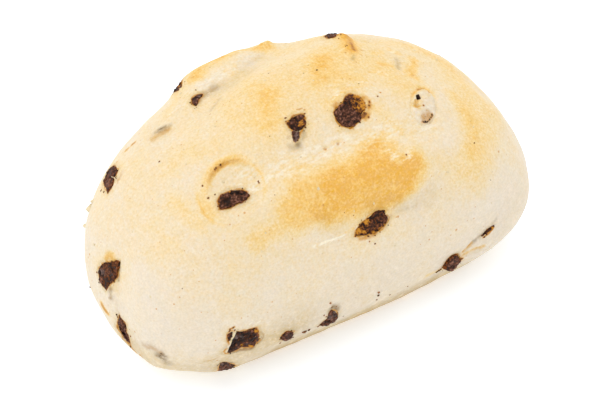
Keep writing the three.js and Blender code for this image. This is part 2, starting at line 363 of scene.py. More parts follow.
# How each chip shows from the front left, in millimetres: how far its middle lies right and up of
# the CAD chip's, its outline as (direction, reach) pairs, how far it is sunk under the crust and how
# much the crust veils it in grey. Patches are (right, up, radius): clear amber, dark or filmed with
# grey. Hidden chips are seen straight on instead.
chipLooks = {
    "chip_left_edge": {
        "move": (-0.7, -0.1),
        "outline": [(41, 2.3), (82, 2.7), (128, 1.7), (175, 1.4), (209, 1.9), (238, 2.3), (261, 3.2),
                    (276, 2.4), (306, 1.3), (340, 1.0), (12, 1.2)],
    },
    "chip_left_end": {
        "move": (-0.9, -0.2),
        "outline": [(20, 2.0), (47, 3.3), (80, 2.8), (120, 2.6), (150, 2.7), (180, 2.6), (210, 2.8),
                    (240, 3.2), (258, 3.5), (275, 2.4), (300, 1.8), (342, 1.9)],
        "dark": [(-0.2, -1.4, 0.9), (0.8, 1.8, 0.8)],
        "film": [(-1.6, 0.4, 1.0), (0.3, -2.8, 0.6)],
    },
    "chip_end_crease": {
        "move": (-0.3, 0),
        "outline": [(30, 0.7), (112, 3.2), (150, 1.35), (205, 0.75), (250, 0.8), (299, 4.3), (340, 0.8)],
    },
    "chip_left_foot": {
        "move": (0, -0.3), "sink": 0.6, "veil": 0.85,
        "outline": [(0, 0.9), (90, 0.8), (180, 0.8), (270, 0.8)],
    },
    "chip_front_left": {
        "move": (0.3, -0.2),
        "outline": [(0, 3.3), (24, 3.4), (40, 4.0), (68, 2.3), (108, 2.0), (134, 2.8), (156, 3.4),
                    (172, 3.3), (188, 2.9), (200, 3.4), (210, 4.5), (218, 4.6), (230, 3.4), (251, 1.6),
                    (294, 1.7), (326, 2.3)],
        "amber": [(1.5, -1.3, 0.5), (2.7, 2.1, 0.4), (-0.2, -1.2, 0.3), (2.9, -0.5, 0.4)],
        "dark": [(-2.6, -1.3, 1.2), (-1.4, 0.2, 1.3), (0.2, 0.6, 1.2), (1.8, 0.6, 0.9)],
        "film": [(-1.5, 0.9, 0.7), (-0.2, 0.8, 0.5)],
    },
    "chip_sole_edge": {
        "move": (0.2, -0.5),
        "outline": [(11, 2.3), (37, 1.3), (80, 1.0), (128, 1.1), (200, 1.9), (232, 1.4), (314, 0.9)],
        "film": [(-0.6, 0.9, 0.7), (0.5, 1.0, 0.5)],
    },
    "chip_front_small": {
        "move": (-0.1, -0.3),
        "outline": [(30, 1.6), (95, 0.9), (150, 0.9), (205, 1.7), (265, 0.9), (330, 1.0)],
    },
    "chip_front_veiled": {
        "move": (-0.1, -0.8),
        "outline": [(8, 1.5), (34, 1.6), (60, 1.9), (86, 1.9), (106, 1.3), (130, 0.8), (180, 0.7),
                    (214, 2.9), (233, 2.1), (275, 1.1), (346, 1.0)],
        "film": [(-0.4, 0.6, 0.8), (0.9, 1.6, 0.7), (-1.6, -0.6, 0.5)],
    },
    "chip_front_right": {
        "move": (0.1, 0.0),
        "outline": [(19, 2.2), (35, 1.7), (55, 2.4), (79, 1.7), (130, 1.0), (196, 1.2), (225, 2.0),
                    (253, 1.6), (281, 1.6), (300, 1.2), (351, 1.1)],
    },
    "chip_right_sliver": {
        "move": (-0.1, 0.1),
        "outline": [(21, 0.8), (39, 2.1), (55, 0.6), (130, 0.18), (208, 0.6), (222, 1.5), (238, 0.5),
                    (320, 0.22)],
        "amber": [(0.6, -0.2, 0.5), (1.4, 0.8, 0.5)],
    },
    "chip_fold": {
        "move": (-0.2, -0.5),
        "outline": [(2, 3.0), (21, 3.8), (35, 3.2), (48, 4.0), (96, 2.0), (147, 1.7), (199, 3.7),
                    (216, 4.6), (252, 2.3), (304, 2.0)],
        "amber": [(-1.5, 0.3, 0.8), (-3.3, -1.7, 1.2), (-1.9, -1.7, 0.6), (0.4, -1.9, 0.7),
                  (2.7, -0.4, 0.6), (1.7, -1.2, 0.6)],
        "dark": [(-0.4, 1.4, 1.0), (1.3, 1.9, 1.1), (2.8, 2.3, 0.8), (0.6, 0.3, 0.8),
                 (-0.9, -1.5, 0.6), (-1.6, -0.7, 0.5), (-2.6, -0.6, 0.4)],
    },
    "chip_top_large": {
        "move": (-0.4, 0),
        "outline": [(8, 3.0), (22, 3.7), (36, 4.4), (50, 4.5), (64, 4.9), (82, 4.9), (98, 4.3),
                    (116, 2.8), (148, 2.8), (170, 3.3), (196, 3.0), (239, 2.8), (276, 2.7), (312, 2.6),
                    (347, 2.8)],
        "amber": [(3.2, 2.4, 2.0), (1.9, 4.5, 1.3), (4.0, 0.7, 0.9), (0.9, 3.0, 0.5)],
        "dark": [(-0.2, 2.3, 0.9), (1.0, 1.9, 0.6), (-1.0, 4.2, 0.5), (1.6, 3.4, 0.35)],
    },
    "chip_furrow": {
        "move": (-0.1, 0),
        "outline": [(18, 2.0), (48, 2.6), (63, 3.2), (95, 2.6), (157, 2.4), (190, 1.4), (214, 1.2),
                    (233, 1.4), (257, 3.0), (268, 3.0), (283, 2.3), (300, 1.35), (335, 1.1)],
        "amber": [(0.8, 0.9, 0.75), (-1.9, 1.3, 0.4), (1.7, 2.0, 0.5)],
        "dark": [(-0.4, 1.5, 0.6), (0.5, 0.1, 0.5), (-0.9, 0.2, 0.6)],
        "film": [(0.0, -1.7, 0.9), (-0.1, -2.9, 0.9), (0.4, -2.3, 0.8)],
    },
    "chip_burst_bubble": {
        "move": (-0.6, 1.0),
        "outline": [(9, 3.5), (29, 3.2), (57, 2.3), (80, 1.8), (104, 1.7), (130, 1.8), (157, 2.3),
                    (194, 3.0), (220, 3.5), (246, 2.3), (285, 1.5), (315, 1.6), (352, 2.6)],
        "amber": [(-2.9, -1.0, 0.3), (-0.6, 1.4, 0.3)],
        "dark": [(-1.4, -0.4, 0.9), (1.0, 0.9, 0.8)],
    },
    "chip_blister": {
        "move": (-0.6, -0.2), "sink": 0.2, "veil": 0.3,
        "outline": [(20, 1.5), (75, 1.2), (140, 1.2), (200, 1.2), (270, 0.8), (320, 1.1)],
    },
    "chip_back_crease": {
        "move": (-0.2, 0.1),
        "outline": [(18, 0.65), (45, 2.1), (90, 1.0), (143, 1.05), (194, 0.9), (248, 1.1), (280, 1.25),
                    (326, 0.7)],
        "film": [(0.9, 0.9, 0.6)],
    },
    "chip_back_edge": {
        "move": (-0.9, 0.3), "sink": 0.15,
        "outline": [(50, 1.9), (140, 0.4), (230, 1.8), (320, 0.3)],
        "amber": [(0.8, 0.9, 0.6), (0.1, 0.2, 0.3)],
    },
    "chip_crest": {
        "move": (-0.4, 0.0),
        "outline": [(12, 2.0), (60, 0.7), (95, 0.45), (180, 1.5), (210, 1.0), (270, 0.4), (340, 0.9)],
        "amber": [(1.3, 0.1, 0.5), (-0.2, -0.5, 0.3), (-1.1, -0.3, 0.3)],
    },
    "chip_shoulder": {
        "move": (0, 0), "sink": 0.5, "veil": 0.75,
        "outline": [(24, 2.1), (110, 0.3), (204, 2.0), (290, 0.3)],
    },
    # the chips round the back and the right end, each seen straight on
    "chip_rear_high": {
        "move": (0, 0), "hidden": True, "amber": [(-1.0, 1.2, 0.8), (1.4, -0.6, 0.6)],
        "outline": [(10, 3.0), (48, 2.5), (95, 2.9), (140, 2.3), (185, 3.3), (232, 2.6), (280, 2.2),
                    (325, 2.8)],
    },
    "chip_rear_left": {
        "move": (0, 0), "hidden": True,
        "outline": [(5, 1.9), (60, 3.2), (100, 3.0), (150, 1.8), (200, 2.1), (250, 3.3), (300, 2.4)],
    },
    "chip_rear_right": {
        "move": (0, 0), "hidden": True, "amber": [(1.3, 0.9, 0.8)],
        "outline": [(20, 3.4), (70, 2.2), (120, 1.9), (165, 2.9), (215, 3.5), (265, 1.8), (320, 2.1)],
    },
    "chip_rear_foot": {
        "move": (0, 0), "hidden": True,
        "outline": [(0, 2.8), (55, 1.6), (110, 1.5), (175, 3.1), (235, 1.7), (300, 1.6)],
    },
    "chip_right_end": {
        "move": (0, 0), "hidden": True, "sink": 0.35,
        "outline": [(15, 2.2), (70, 2.6), (130, 1.7), (190, 2.0), (245, 2.7), (310, 1.6)],
    },
    "chip_sole_left": {
        "move": (0, 0), "hidden": True,
        "outline": [(0, 2.6), (60, 2.1), (115, 2.7), (180, 2.2), (240, 2.8), (300, 2.0)],
    },
    "chip_sole_right": {
        "move": (0, 0), "hidden": True,
        "outline": [(20, 3.1), (80, 2.0), (140, 2.3), (200, 3.0), (260, 2.2), (320, 2.4)],
    },
}


def outlineReach(outline, angles):
    # how far the outline reaches at each angle: halfway between straight and rounded sides
    degrees, reaches = zip(*outline)
    rounded = np.interp(np.degrees(angles), degrees, reaches, period=360)
    turns = np.radians([turn for turn, reach in sorted(outline)])
    reaches = np.array([reach for turn, reach in sorted(outline)])
    x, y = reaches * np.cos(turns), reaches * np.sin(turns)
    start = np.searchsorted(turns, angles % math.tau) - 1
    end = (start + 1) % len(turns)
    along, across = x[end] - x[start], y[end] - y[start]
    straight = (x[start] * across - y[start] * along) / (np.cos(angles) * across - np.sin(angles) * along)
    return (straight + rounded) / 2


def rightAndUp(offsets, seat):
    return offsets @ np.array(seat["right"]), offsets @ np.array(seat["up"])


def splitLongEdges(mesh):
    shape = bmesh.new()
    shape.from_mesh(mesh)
    edges = [edge for edge in shape.edges if edge.calc_length() > chocolate["longest"] * mm]
    bmesh.ops.subdivide_edges(shape, edges=edges, cuts=1, use_grid_fill=True)
    shape.to_mesh(mesh)
    shape.free()


def seatChip(node, look):
    # the chip's seat on the crust, the CAD chip's middle and how deep that lies
    low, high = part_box(node)
    middle = (low + high) / 2
    point, normal, index, depth = crustTree.find_nearest(middle)
    seat = makeSeat(point, normal, "hidden" not in look)
    seat["at"], seat["out"] = beside(seat, *look["move"])
    return seat, middle, depth


def pressChip(chip, seat, middle, depth, look):
    # flattened towards the crust, and drawn out sideways until it fills its outline
    out = np.array(seat["out"])
    offsets = readPoints(chip.data) - np.array(middle)
    heights = offsets @ out
    flats = offsets - heights[:, None] * out
    spread = np.maximum(np.linalg.norm(flats, axis=1), tiny)
    tall = heights / np.abs(heights).max()
    wide = np.sqrt(np.maximum(1 - tall ** 2, 0))
    power = chocolate["boxiness"]
    fuller = (np.abs(tall) ** power + wide ** power) ** (-1 / power)
    right, up = rightAndUp(flats, seat)
    reach = outlineReach(look["outline"], np.arctan2(up, right)) * mm
    reach *= spread / np.maximum(np.hypot(right, up), tiny)
    flat = np.array(seat["at"]) + flats / spread[:, None] * (wide * fuller * reach)[:, None]
    ground = flat.copy()
    search = chocolate["search"]
    for i, point in enumerate(flat):
        above = Vector(point) + seat["out"] * search * mm
        hit = crustTree.ray_cast(above, -seat["out"], 2 * search * mm)[0]
        if hit is not None:
            ground[i] = hit
    thick = depth + (chocolate["proud"] - look.get("sink", 0)) * mm
    writePoints(chip.data, ground + out * (tall * fuller * thick - depth)[:, None])
    writeAttribute(chip.data, "wide", wide)


def roughenChip(chip, seat, size):
    points, wide = readPoints(chip.data), readAttribute(chip.data, "wide")
    kinds = [chocolate[kind] for kind in ("lumps", "grains", "dust")]
    lumps, grains, dust = [noiseAt(points, wavelength)[:, 0] * height for wavelength, height in kinds]
    small = min(1, size / (chocolate["fullSize"] * mm))
    rough = points + readNormals(chip.data) * ((lumps + grains + dust) * small * mm)[:, None]
    rough[:, 2] = np.maximum(rough[:, 2], lift)
    writePoints(chip.data, rough)

    # Painted light and shade: each bump is lighter on its top and darker in its hollows, and the edge is
    # darker all round and most of all at the top, as shade in the pit the chip sits in.
    right, up = rightAndUp(points - np.array(seat["at"]), seat)
    towardsTop = step(up / np.maximum(np.hypot(right, up), tiny), *chocolate["top"])
    allRound, atTop = chocolate["edgeShade"]
    lightAndShade = chocolate["brightness"] + lumps * chocolate["lumpShade"]
    lightAndShade += grains * chocolate["grainShade"] + dust * chocolate["dustShade"]
    lightAndShade -= step(wide, *chocolate["edge"]) * (allRound + atTop * towardsTop)
    writeAttribute(chip.data, "toneAndShade", lightAndShade)
    writeAttribute(chip.data, "rim", step(wide, *chocolate["rim"]))
    return right / mm, up / mm


def makeChip(node):
    shape = looseCopy(node)
    mesh = bpy.data.meshes.new("baked_" + node)
    shape.to_mesh(mesh)
    shape.free()
    chip = addObject("baked_" + node, mesh)
    smooth = chip.modifiers.new("round", "SUBSURF")
    smooth.levels = chocolate["levels"]
    smooth.render_levels = chocolate["levels"]
    applyModifiers(chip)

    look = chipLooks[node]
    seat, middle, depth = seatChip(node, look)
    pressChip(chip, seat, middle, depth, look)
    for turn in range(chocolate["splits"]):
        splitLongEdges(chip.data)
    low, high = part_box(node)
    right, up = roughenChip(chip, seat, (high - low).length)
    for kind in ("amber", "dark", "film"):
        strength = np.zeros(len(right))
        for patchRight, patchUp, radius in look.get(kind, []):
            strength = np.maximum(strength, bell(np.hypot(right - patchRight, up - patchUp), radius))
        writeAttribute(chip.data, kind, strength)
    chip.data.shade_smooth()
    return chip, seat


chips = {}
anchors = {}
for name in chipNames:
    chips[name], anchors[name] = makeChip(name)
print("chips:", len(chips))


# The crust's marks. A mark is a path, its half width and what it does to the crust: how far it rises
# or falls, how strong its tints are, a fleck of chocolate or a strand of dough across a chip. The grey
# tint is painted shade in creases, dips and low down, and in other marks a chip seen through a thin
# skin of dough. Paths on the loaf are places. Paths by an anchor are millimetres right and up of it,
# as seen from the front left.

bubble = {
    "at": (205, 50), "radius": 6.0, "depth": 0.7, "meshReach": 8.8,
    "wobble": 0.12,
    "wall": (-0.5, 0.2),               # how far outside the radius its steep side starts and ends
    "gentle": 1.6,                     # how much further in its other sides start
    "shallow": 0.45,                   # and how deep they are against the steep one
    "sides": {"upperLeft": (124, 62), "lowerLeft": (215, 32), "right": (20, 50)},   # bearing and spread
    # what each band round the bubble does: effect, amount, how far outside the radius, width and side
    "bands": [("rise", 0.22, 0.7, 0.5, "upperLeft"),
              ("rise", -0.15, 2.2, 0.3, "lowerLeft"),
              ("baked", 0.34, 0.5, 0.7, "upperLeft"),
              ("baked", 0.22, 0.0, 0.35, "right"),
              ("baked", 0.3, 2.2, 0.4, "lowerLeft"),
              ("baked", 0.22, 1.2, 1.0, "lowerLeft")],
    "tornEdge": [("toffee", 0.42, -0.1, 0.45), ("baked", 0.5, -0.3, 0.5)],
    "floor": {"pale": 0.2, "baked": 0.03, "shadeAndVeil": 0.04},
    "swell": (1.6, -5.6, 2.6, 0.35),   # right, up, width and height of the swell below it
}
blister = {
    "at": (340, 44.6), "half": (2.7, 4.0), "rise": 0.4, "meshReach": 4.8,
    # how far out in blisters each starts and ends, or where its middle is and its width
    "skin": (0.8, 1.0, {"pale": 0.4, "baked": -0.12}),
    "shadow": (0.8, 1.05, 0.07),
    "groove": (1.03, 0.1, 0.2),
    "goldenEdge": (1.02, 0.1, 0.3),
}
anchors["bubble"] = makeSeat(*onCrust(bubble["at"]))
anchors["blister"] = makeSeat(*onCrust(blister["at"]))

marks = [
    # golden front swell
    ("loaf", [(221, 36), (225, 39), (231, 42), (240, 46)], 2.4, {"gold": 0.24}),
    ("loaf", [(237, 47), (246, 50), (257, 52), (270, 52), (284, 49)], 4.4, {"gold": 0.5}),
    ("loaf", [(235, 58), (240, 61), (256, 61), (275, 62)], 2.6, {"gold": 0.24}),
    ("loaf", [(239, 54), (252, 57), (270, 59), (284, 58)], 3.0, {"gold": 0.46}),
    ("loaf", [(261, 55), (275, 54), (286, 53), (296, 50)], 4.2, {"gold": 0.76}),
    ("loaf", [(256, 47), (268, 46), (280, 45), (290, 44), (299, 43)], 3.9, {"gold": 0.6}),
    ("loaf", [(289, 57), (297, 57), (304, 57)], 2.6, {"gold": 0.66}),
    ("loaf", [(296, 61), (305, 60), (312, 56)], 1.8, {"gold": 0.3}),
    ("loaf", [(292, 48), (300, 45), (307, 43)], 3.6, {"gold": 0.7}),
    ("loaf", [(286, 37), (293, 37), (300, 38)], 1.9, {"baked": 0.22}),
    ("loaf", [(248, 47), (265, 46), (278, 44), (289, 42), (299, 41), (306, 42)], 2.9, {"gold": 0.64}),
    ("loaf", [(303, 56), (308, 53)], 2.4, {"gold": 0.42}),
    ("loaf", [(306, 52), (306, 49), (310, 46)], 1.4, {"gold": -0.06, "pale": 0.6}),
    # painted shade below the swell, where the crust turns away
    ("loaf", [(280, 40), (290, 36), (299, 31), (307, 28)], 2.6, {"shadeAndVeil": 0.12}),
    ("loaf", [(250, 43), (262, 39)], 2.0, {"shadeAndVeil": 0.08}),
    # golden spots on the top and the back
    ("loaf", [(135, 79), (171, 78), (194, 75)], 2.6, {"baked": 0.22}),
    ("loaf", [(39, 66), (35, 74)], 2.4, {"baked": 0.3}),
    ("loaf", [(22, 79), (11, 70), (2, 64)], 2.4, {"baked": 0.18}),
    ("loaf", [(330, 80), (354, 72)], 1.6, {"baked": 0.12}),
    ("loaf", [(26, 37), (20, 33), (14, 29)], 2.0, {"baked": 0.1}),
    ("loaf", [(163, 72), (93, 82), (40, 66)], 8.0, {"baked": 0.16}),
    ("loaf", [(25, 61), (11, 53), (-8, 49)], 5.0, {"baked": 0.18}),
    ("loaf", [(8, 26), (-5, 28), (-19, 28), (-29, 26), (-37, 26)], 4.6, {"baked": 0.22}),
    ("loaf", [(173, 23), (184, 25), (193, 29)], 4.5, {"baked": 0.04}),
    ("loaf", [(120, 49), (110, 46), (105, 47), (100, 47)], 1.8, {"baked": 0.5}),
    ("loaf", [(99, 48), (95, 48), (89, 47)], 1.2, {"baked": 0.28}),
    ("loaf", [(82, 48), (77, 48), (74, 48)], 1.3, {"baked": 0.45}),
    ("loaf", [(9, 37), (1, 43)], 1.3, {"baked": 0.4}),
    ("loaf", [(127, 43), (135, 45), (144, 44)], 1.6, {"baked": 0.14}),
    ("loaf", [(19, 48), (18, 45)], 0.9, {"baked": 0.22}),
    ("loaf", [(18, 41), (14, 40)], 0.8, {"baked": 0.2, "pale": 0.4}),
    ("loaf", [(12, 51), (7, 48)], 0.8, {"baked": 0.24}),
    ("loaf", [(0, 45), (-3, 43)], 0.8, {"baked": 0.28}),
    ("loaf", [(6, 56), (3, 53)], 0.8, {"baked": 0.2, "pale": 0.5}),
    ("loaf", [(-12, 34), (-16, 33), (-22, 31), (-28, 29), (-33, 28)], 2.0, {"baked": 0.2}),
    ("loaf", [(79, 50), (67, 52), (55, 49), (43, 47), (30, 47), (22, 39), (14, 28)], 2.6, {"baked": 0.13}),
    ("loaf", [(108, 54), (107, 64), (128, 76)], 3.0, {"baked": 0.1}),
    ("loaf", [(7, 25), (-4, 24), (-17, 21)], 2.4, {"baked": 0.12}),
    ("loaf", [(174, 42), (173, 47), (175, 52), (178, 56)], 2.6, {"baked": 0.1}),
    ("loaf", [(187, 38), (196, 37), (201, 36)], 1.6, {"baked": 0.14}),
    ("loaf", [(324, 53), (329, 58), (333, 61)], 1.6, {"baked": 0.16}),
    # pale, stretched skin
    ("loaf", [(211, 54), (220, 61), (250, 69), (294, 68), (319, 56), (331, 42)], 3.6,
     {"baked": -0.02, "pale": 0.5}),
    ("loaf", [(128, 53), (113, 55), (97, 54), (84, 51)], 1.7, {"baked": -0.12, "pale": 0.5}),
    ("loaf", [(-13, 38), (-24, 37), (-34, 35)], 3.0, {"baked": -0.1}),
    ("loaf", [(191, 20), (198, 14), (203, 8)], 5.0, {"baked": -0.08}),
    ("loaf", [(324, 11), (321, 7), (316, 7)], 6.0, {"baked": -0.08}),
    # creases at the back, with painted shade along them
    ("loaf", [(133, 55), (124, 57), (111, 59), (96, 56), (80, 52)], 0.9, {"rise": -0.25, "shadeAndVeil": 0.1}),
    ("loaf", [(131, 58), (122, 60), (110, 62), (96, 60)], 1.6, {"shadeAndVeil": 0.1}),
    ("loaf", [(130, 52), (121, 54), (109, 56), (95, 53), (81, 49)], 1.6, {"rise": 0.25}),
    ("loaf", [(77, 47), (74, 46)], 0.8, {"rise": 0.6}),
    ("loaf", [(86, 48), (82, 47)], 0.8, {"rise": -0.35}),
    ("chip_back_crease", [(0.6, -0.2), (1.4, 1.0), (2.8, 2.0), (4.4, 3.0)], 0.9,
     {"toffee": 0.22, "shadeAndVeil": 0.4}),
    ("chip_back_crease", [(3.3, -2.2), (5.2, 0.5)], 0.45, {"rise": -0.15, "toffee": 0.16, "shadeAndVeil": 0.15}),
    ("chip_back_crease", [(-5.4, -3.0), (-2.2, -0.9)], 0.25, {"rise": 0.15, "pale": 0.8}),
    # by the left edge and the left end
    ("chip_left_edge", [(1.4, -1.8), (1.9, -0.6), (2.6, 0.9)], 0.6, {"toffee": 0.35, "shadeAndVeil": 0.12}),
    ("chip_left_edge", [(1.7, -0.4), (0.5, 0.0)], 0.2, {"strand": 1.3, "rise": 0.5, "pale": 0.8}),
    ("chip_left_edge", [(-0.4, -3.4)], 0.3, {"toffee": 0.9}),
    ("chip_left_end", [(-0.4, 3.4), (0.5, 3.9), (1.2, 3.3)], 0.85,
     {"toffee": 0.25, "baked": 0.5, "shadeAndVeil": 0.1}),
    ("chip_left_end", [(2.5, 1.4), (2.0, -1.2)], 0.5, {"shadeAndVeil": 0.5}),
    ("chip_left_end", [(0.6, -3.0), (0.4, -4.9)], 0.55, {"shadeAndVeil": 0.6, "toffee": 0.2}),
    ("chip_left_end", [(-1.5, -6.4), (-0.9, -7.4), (-0.1, -8.3)], 0.6, {"toffee": 0.7, "baked": 0.7}),
    ("chip_left_end", [(2.3, 2.7), (2.0, -2.3), (1.7, -5.5), (1.9, -8.6)], 0.7, {"rise": -0.4}),
    ("chip_left_end", [(0.6, 2.7), (0.3, -2.3), (0.0, -5.5), (0.3, -8.6)], 1.0, {"rise": 0.2}),
    ("chip_end_crease", [(2.1, -3.7), (2.9, -4.5), (3.7, -5.6)], 0.22, {"toffee": 0.8}),
    ("chip_left_foot", [(-3.8, 2.3), (-2.3, 1.9), (-0.5, 1.0)], 0.9, {"shadeAndVeil": 0.3, "toffee": 0.3}),
    ("chip_left_foot", [(-1.0, 0.3), (0.0, -0.3), (1.2, -1.5)], 0.9, {"shadeAndVeil": 0.45, "hole": 0.22}),
    ("chip_left_foot", [(-0.3, 0.7), (0.6, 0.5)], 0.3, {"hole": 0.45}),
    # by the front left chips
    ("chip_front_left", [(-1.6, 2.2), (-2.4, 0.5), (-3.0, -0.8), (-3.6, -2.2)], 0.24,
     {"strand": 1.4, "rise": 0.6, "pale": 0.8, "toffee": -0.6}),
    ("chip_front_left", [(-4.6, -3.3), (-5.4, -3.8), (-6.7, -4.3), (-8.2, -4.5)], 0.32,
     {"rise": -0.15, "toffee": 0.3, "shadeAndVeil": 0.1}),
    ("chip_front_left", [(-2.2, -2.4), (-0.4, -2.0), (1.5, -1.9)], 0.6, {"shadeAndVeil": 0.7, "toffee": 0.3}),
    ("chip_front_left", [(3.8, 1.8), (4.3, 1.0), (3.5, -0.2), (2.6, -0.9)], 0.24,
     {"toffee": 0.25, "shadeAndVeil": 0.3}),
    ("chip_front_left", [(1.3, 2.3), (2.6, 2.6)], 0.4, {"toffee": 0.8, "fleck": 0.6}),
    ("chip_front_left", [(-2.6, 2.6), (-1.7, 3.0)], 0.25, {"toffee": 0.6, "fleck": 0.7}),
    ("chip_front_left", [(1.3, 3.4), (2.4, 4.7)], 0.2, {"pale": 0.9, "rise": 0.08}),
    ("chip_front_left", [(2.4, 3.4), (3.5, 4.2)], 0.2, {"pale": 0.9, "rise": 0.08}),
    ("chip_sole_edge", [(-1.3, 0.8), (1.1, 1.0)], 0.5, {"shadeAndVeil": 0.6, "hole": 0.35}),
    ("chip_front_veiled", [(-0.2, 3.5)], 0.34, {"fleck": 1}),
    ("chip_front_veiled", [(0.0, 2.4), (0.5, 2.8), (1.1, 2.2)], 0.8, {"shadeAndVeil": 0.7, "hole": 0.36}),
    ("chip_front_veiled", [(-1.0, 0.6)], 0.25, {"fleck": 0.8}),
    ("chip_front_veiled", [(0.1, 2.7)], 0.22, {"fleck": 0.8}),
    ("chip_front_veiled", [(1.0, 2.8)], 0.22, {"fleck": 0.8}),
    ("chip_front_veiled", [(-2.3, -1.6), (-2.7, -2.0)], 0.25, {"fleck": 0.9}),
    # by the right foot
    ("chip_front_right", [(-1.5, -1.4), (-2.3, -2.3), (-2.8, -2.8)], 0.28, {"fleck": 1.2, "rise": 0.1}),
    ("chip_front_right", [(2.1, 0.5), (2.4, 0.8)], 0.26, {"fleck": 1.1}),
    ("chip_front_right", [(1.6, 1.5), (2.5, 0.2)], 0.7, {"toffee": 0.4}),
    ("chip_right_sliver", [(-0.6, -1.2), (0.5, -0.4), (1.6, 0.8)], 0.32, {"toffee": 0.9}),
    ("chip_right_sliver", [(-1.2, -0.7), (-1.9, -1.5), (-2.5, -2.2)], 0.5, {"shadeAndVeil": 0.5}),
    ("chip_right_sliver", [(1.5, 1.9), (2.1, 2.6)], 0.5, {"shadeAndVeil": 0.3}),
    ("chip_right_sliver", [(-1.4, -1.3), (-2.7, -2.2), (-3.5, -3.1), (-4.6, -4.4)], 0.4, {"rise": -0.4}),
    ("chip_right_sliver", [(-3.2, -2.7), (-4.0, -3.6), (-4.9, -4.5)], 0.45, {"toffee": 0.5, "baked": 0.3}),
    ("chip_right_sliver", [(-4.6, -5.2), (-2.4, -3.8), (-0.4, -3.0)], 0.5,
     {"toffee": 0.32, "baked": 0.3, "rise": -0.15}),
    ("chip_front_right", [(-1.2, -2.0), (-3.0, -2.6), (-5.0, -3.0)], 0.9, {"baked": 0.3}),
    ("chip_right_sliver", [(-3.2, -5.4), (-1.5, -4.1)], 0.7, {"rise": 0.3, "pale": 0.3}),
    # by the fold
    ("chip_fold", [(4.0, 2.9), (4.8, 3.8), (5.6, 4.4)], 0.4, {"toffee": 0.3}),
    ("chip_fold", [(3.5, 1.4), (5.1, 2.4), (6.8, 3.0), (9.2, 3.8)], 0.5, {"rise": -0.16, "shadeAndVeil": 0.08}),
    # pale stretched skin along the fold's ridge, painted brighter as a highlight on its edge
    ("chip_fold", [(-3.3, -0.6), (-5.0, -1.5), (-6.1, -2.2), (-9.3, -3.7), (-12.6, -4.7)], 0.35,
     {"rise": 0.07, "pale": 1.3}),
    ("chip_fold", [(-3.6, -1.4), (-5.2, -2.2), (-6.3, -2.9), (-9.4, -4.4)], 0.4, {"rise": -0.07}),
    ("chip_fold", [(-2.8, -3.2), (-1.0, -2.9), (0.5, -2.3)], 0.55, {"toffee": 0.55}),
    ("chip_fold", [(-0.7, -3.8)], 0.2, {"fleck": 1}),
    ("chip_fold", [(0.5, -4.3)], 0.2, {"fleck": 0.9}),
    # by the large chip on the top
    ("chip_top_large", [(3.4, 3.9), (4.5, 2.6), (4.3, 0.8), (3.4, -0.8)], 0.7,
     {"toffee": 0.35, "baked": 0.2}),
    ("chip_top_large", [(4.4, 2.9), (4.3, 1.8)], 0.3, {"fleck": 1.3}),
    ("chip_top_large", [(3.5, 0.3), (3.1, -0.4)], 0.4, {"fleck": 1.0}),
    ("chip_top_large", [(4.2, -0.4)], 0.28, {"fleck": 0.9}),
    ("chip_top_large", [(6.2, 4.1)], 0.26, {"fleck": 0.8}),
    ("chip_top_large", [(6.8, 4.9)], 0.22, {"toffee": 0.9}),
    ("chip_top_large", [(-2.6, 2.4), (-3.1, 1.7)], 0.6, {"toffee": 0.5}),
    ("chip_top_large", [(-3.5, 3.5), (-0.4, 5.4), (2.8, 6.1), (5.0, 5.4)], 0.3, {"pale": 0.7, "rise": 0.1}),
    ("chip_top_large", [(-3.0, 4.6), (0.2, 6.6), (3.4, 7.2), (5.8, 6.2)], 0.25,
     {"pale": 0.6, "rise": 0.08}),
    # by the chip in the furrow
    ("chip_furrow", [(-1.6, -0.5), (-0.3, -0.9), (1.4, -0.7)], 0.2,
     {"strand": 0.9, "rise": 0.3, "shadeAndVeil": 0.6}),
    ("chip_furrow", [(1.5, -0.6), (1.2, -2.2), (0.2, -3.6)], 0.6, {"shadeAndVeil": 0.4, "hole": 0.2}),
    ("chip_furrow", [(-1.1, -4.1), (0.7, -4.1)], 0.8, {"shadeAndVeil": 0.35}),
    ("chip_furrow", [(-1.7, -2.2)], 0.5, {"shadeAndVeil": 0.3, "toffee": 0.2}),
    ("chip_furrow", [(0.0, 3.7), (1.1, 4.0)], 0.22, {"toffee": 0.7}),
    # on the burst bubble
    ("bubble", [(-3.2, 4.9)], 0.26, {"fleck": 0.8}),
    ("bubble", [(-4.4, 4.0), (-4.1, 4.4)], 0.22, {"fleck": 0.7}),
    ("bubble", [(-6.9, 0.6)], 0.26, {"fleck": 0.75}),
    ("bubble", [(-5.7, -1.9)], 0.24, {"fleck": 0.95}),
    ("bubble", [(4.6, 1.6), (4.8, 1.2)], 0.22, {"fleck": 0.8}),
    # on the blister
    # the blister's hole: a dent painted dark, as the shade inside it
    ("blister", [(-1.15, 2.0)], 0.55, {"rise": -1.2, "hole": 1.8}),
    ("blister", [(-1.4, 1.1), (-1.5, 0.1)], 0.75,
     {"rise": -0.5, "baked": 1.1, "toffee": 0.22, "shadeAndVeil": 0.25}),
    ("blister", [(-1.9, 1.6), (-1.3, 2.3)], 0.25, {"rise": 0.15, "pale": 1}),
    ("blister", [(-1.0, 3.7), (-0.1, 4.0), (0.6, 3.8), (1.3, 3.0)], 0.28, {"rise": -0.2, "toffee": 0.8}),
    ("blister", [(-0.2, 0.0)], 0.28, {"fleck": 0.7, "toffee": 0.4}),
    ("chip_blister", [(-0.8, -0.5), (0.0, -0.4), (0.8, 0.3), (1.3, 1.1)], 0.4,
     {"hole": 0.5, "toffee": 0.5}),
    ("chip_blister", [(-0.6, 0.7), (0.3, 1.2)], 0.9, {"hole": 0.34, "shadeAndVeil": 0.35, "toffee": 0.5}),
    # painted shade along the blister's right side
    ("blister", [(2.1, 1.7), (2.5, -0.4)], 0.5, {"shadeAndVeil": 0.1}),
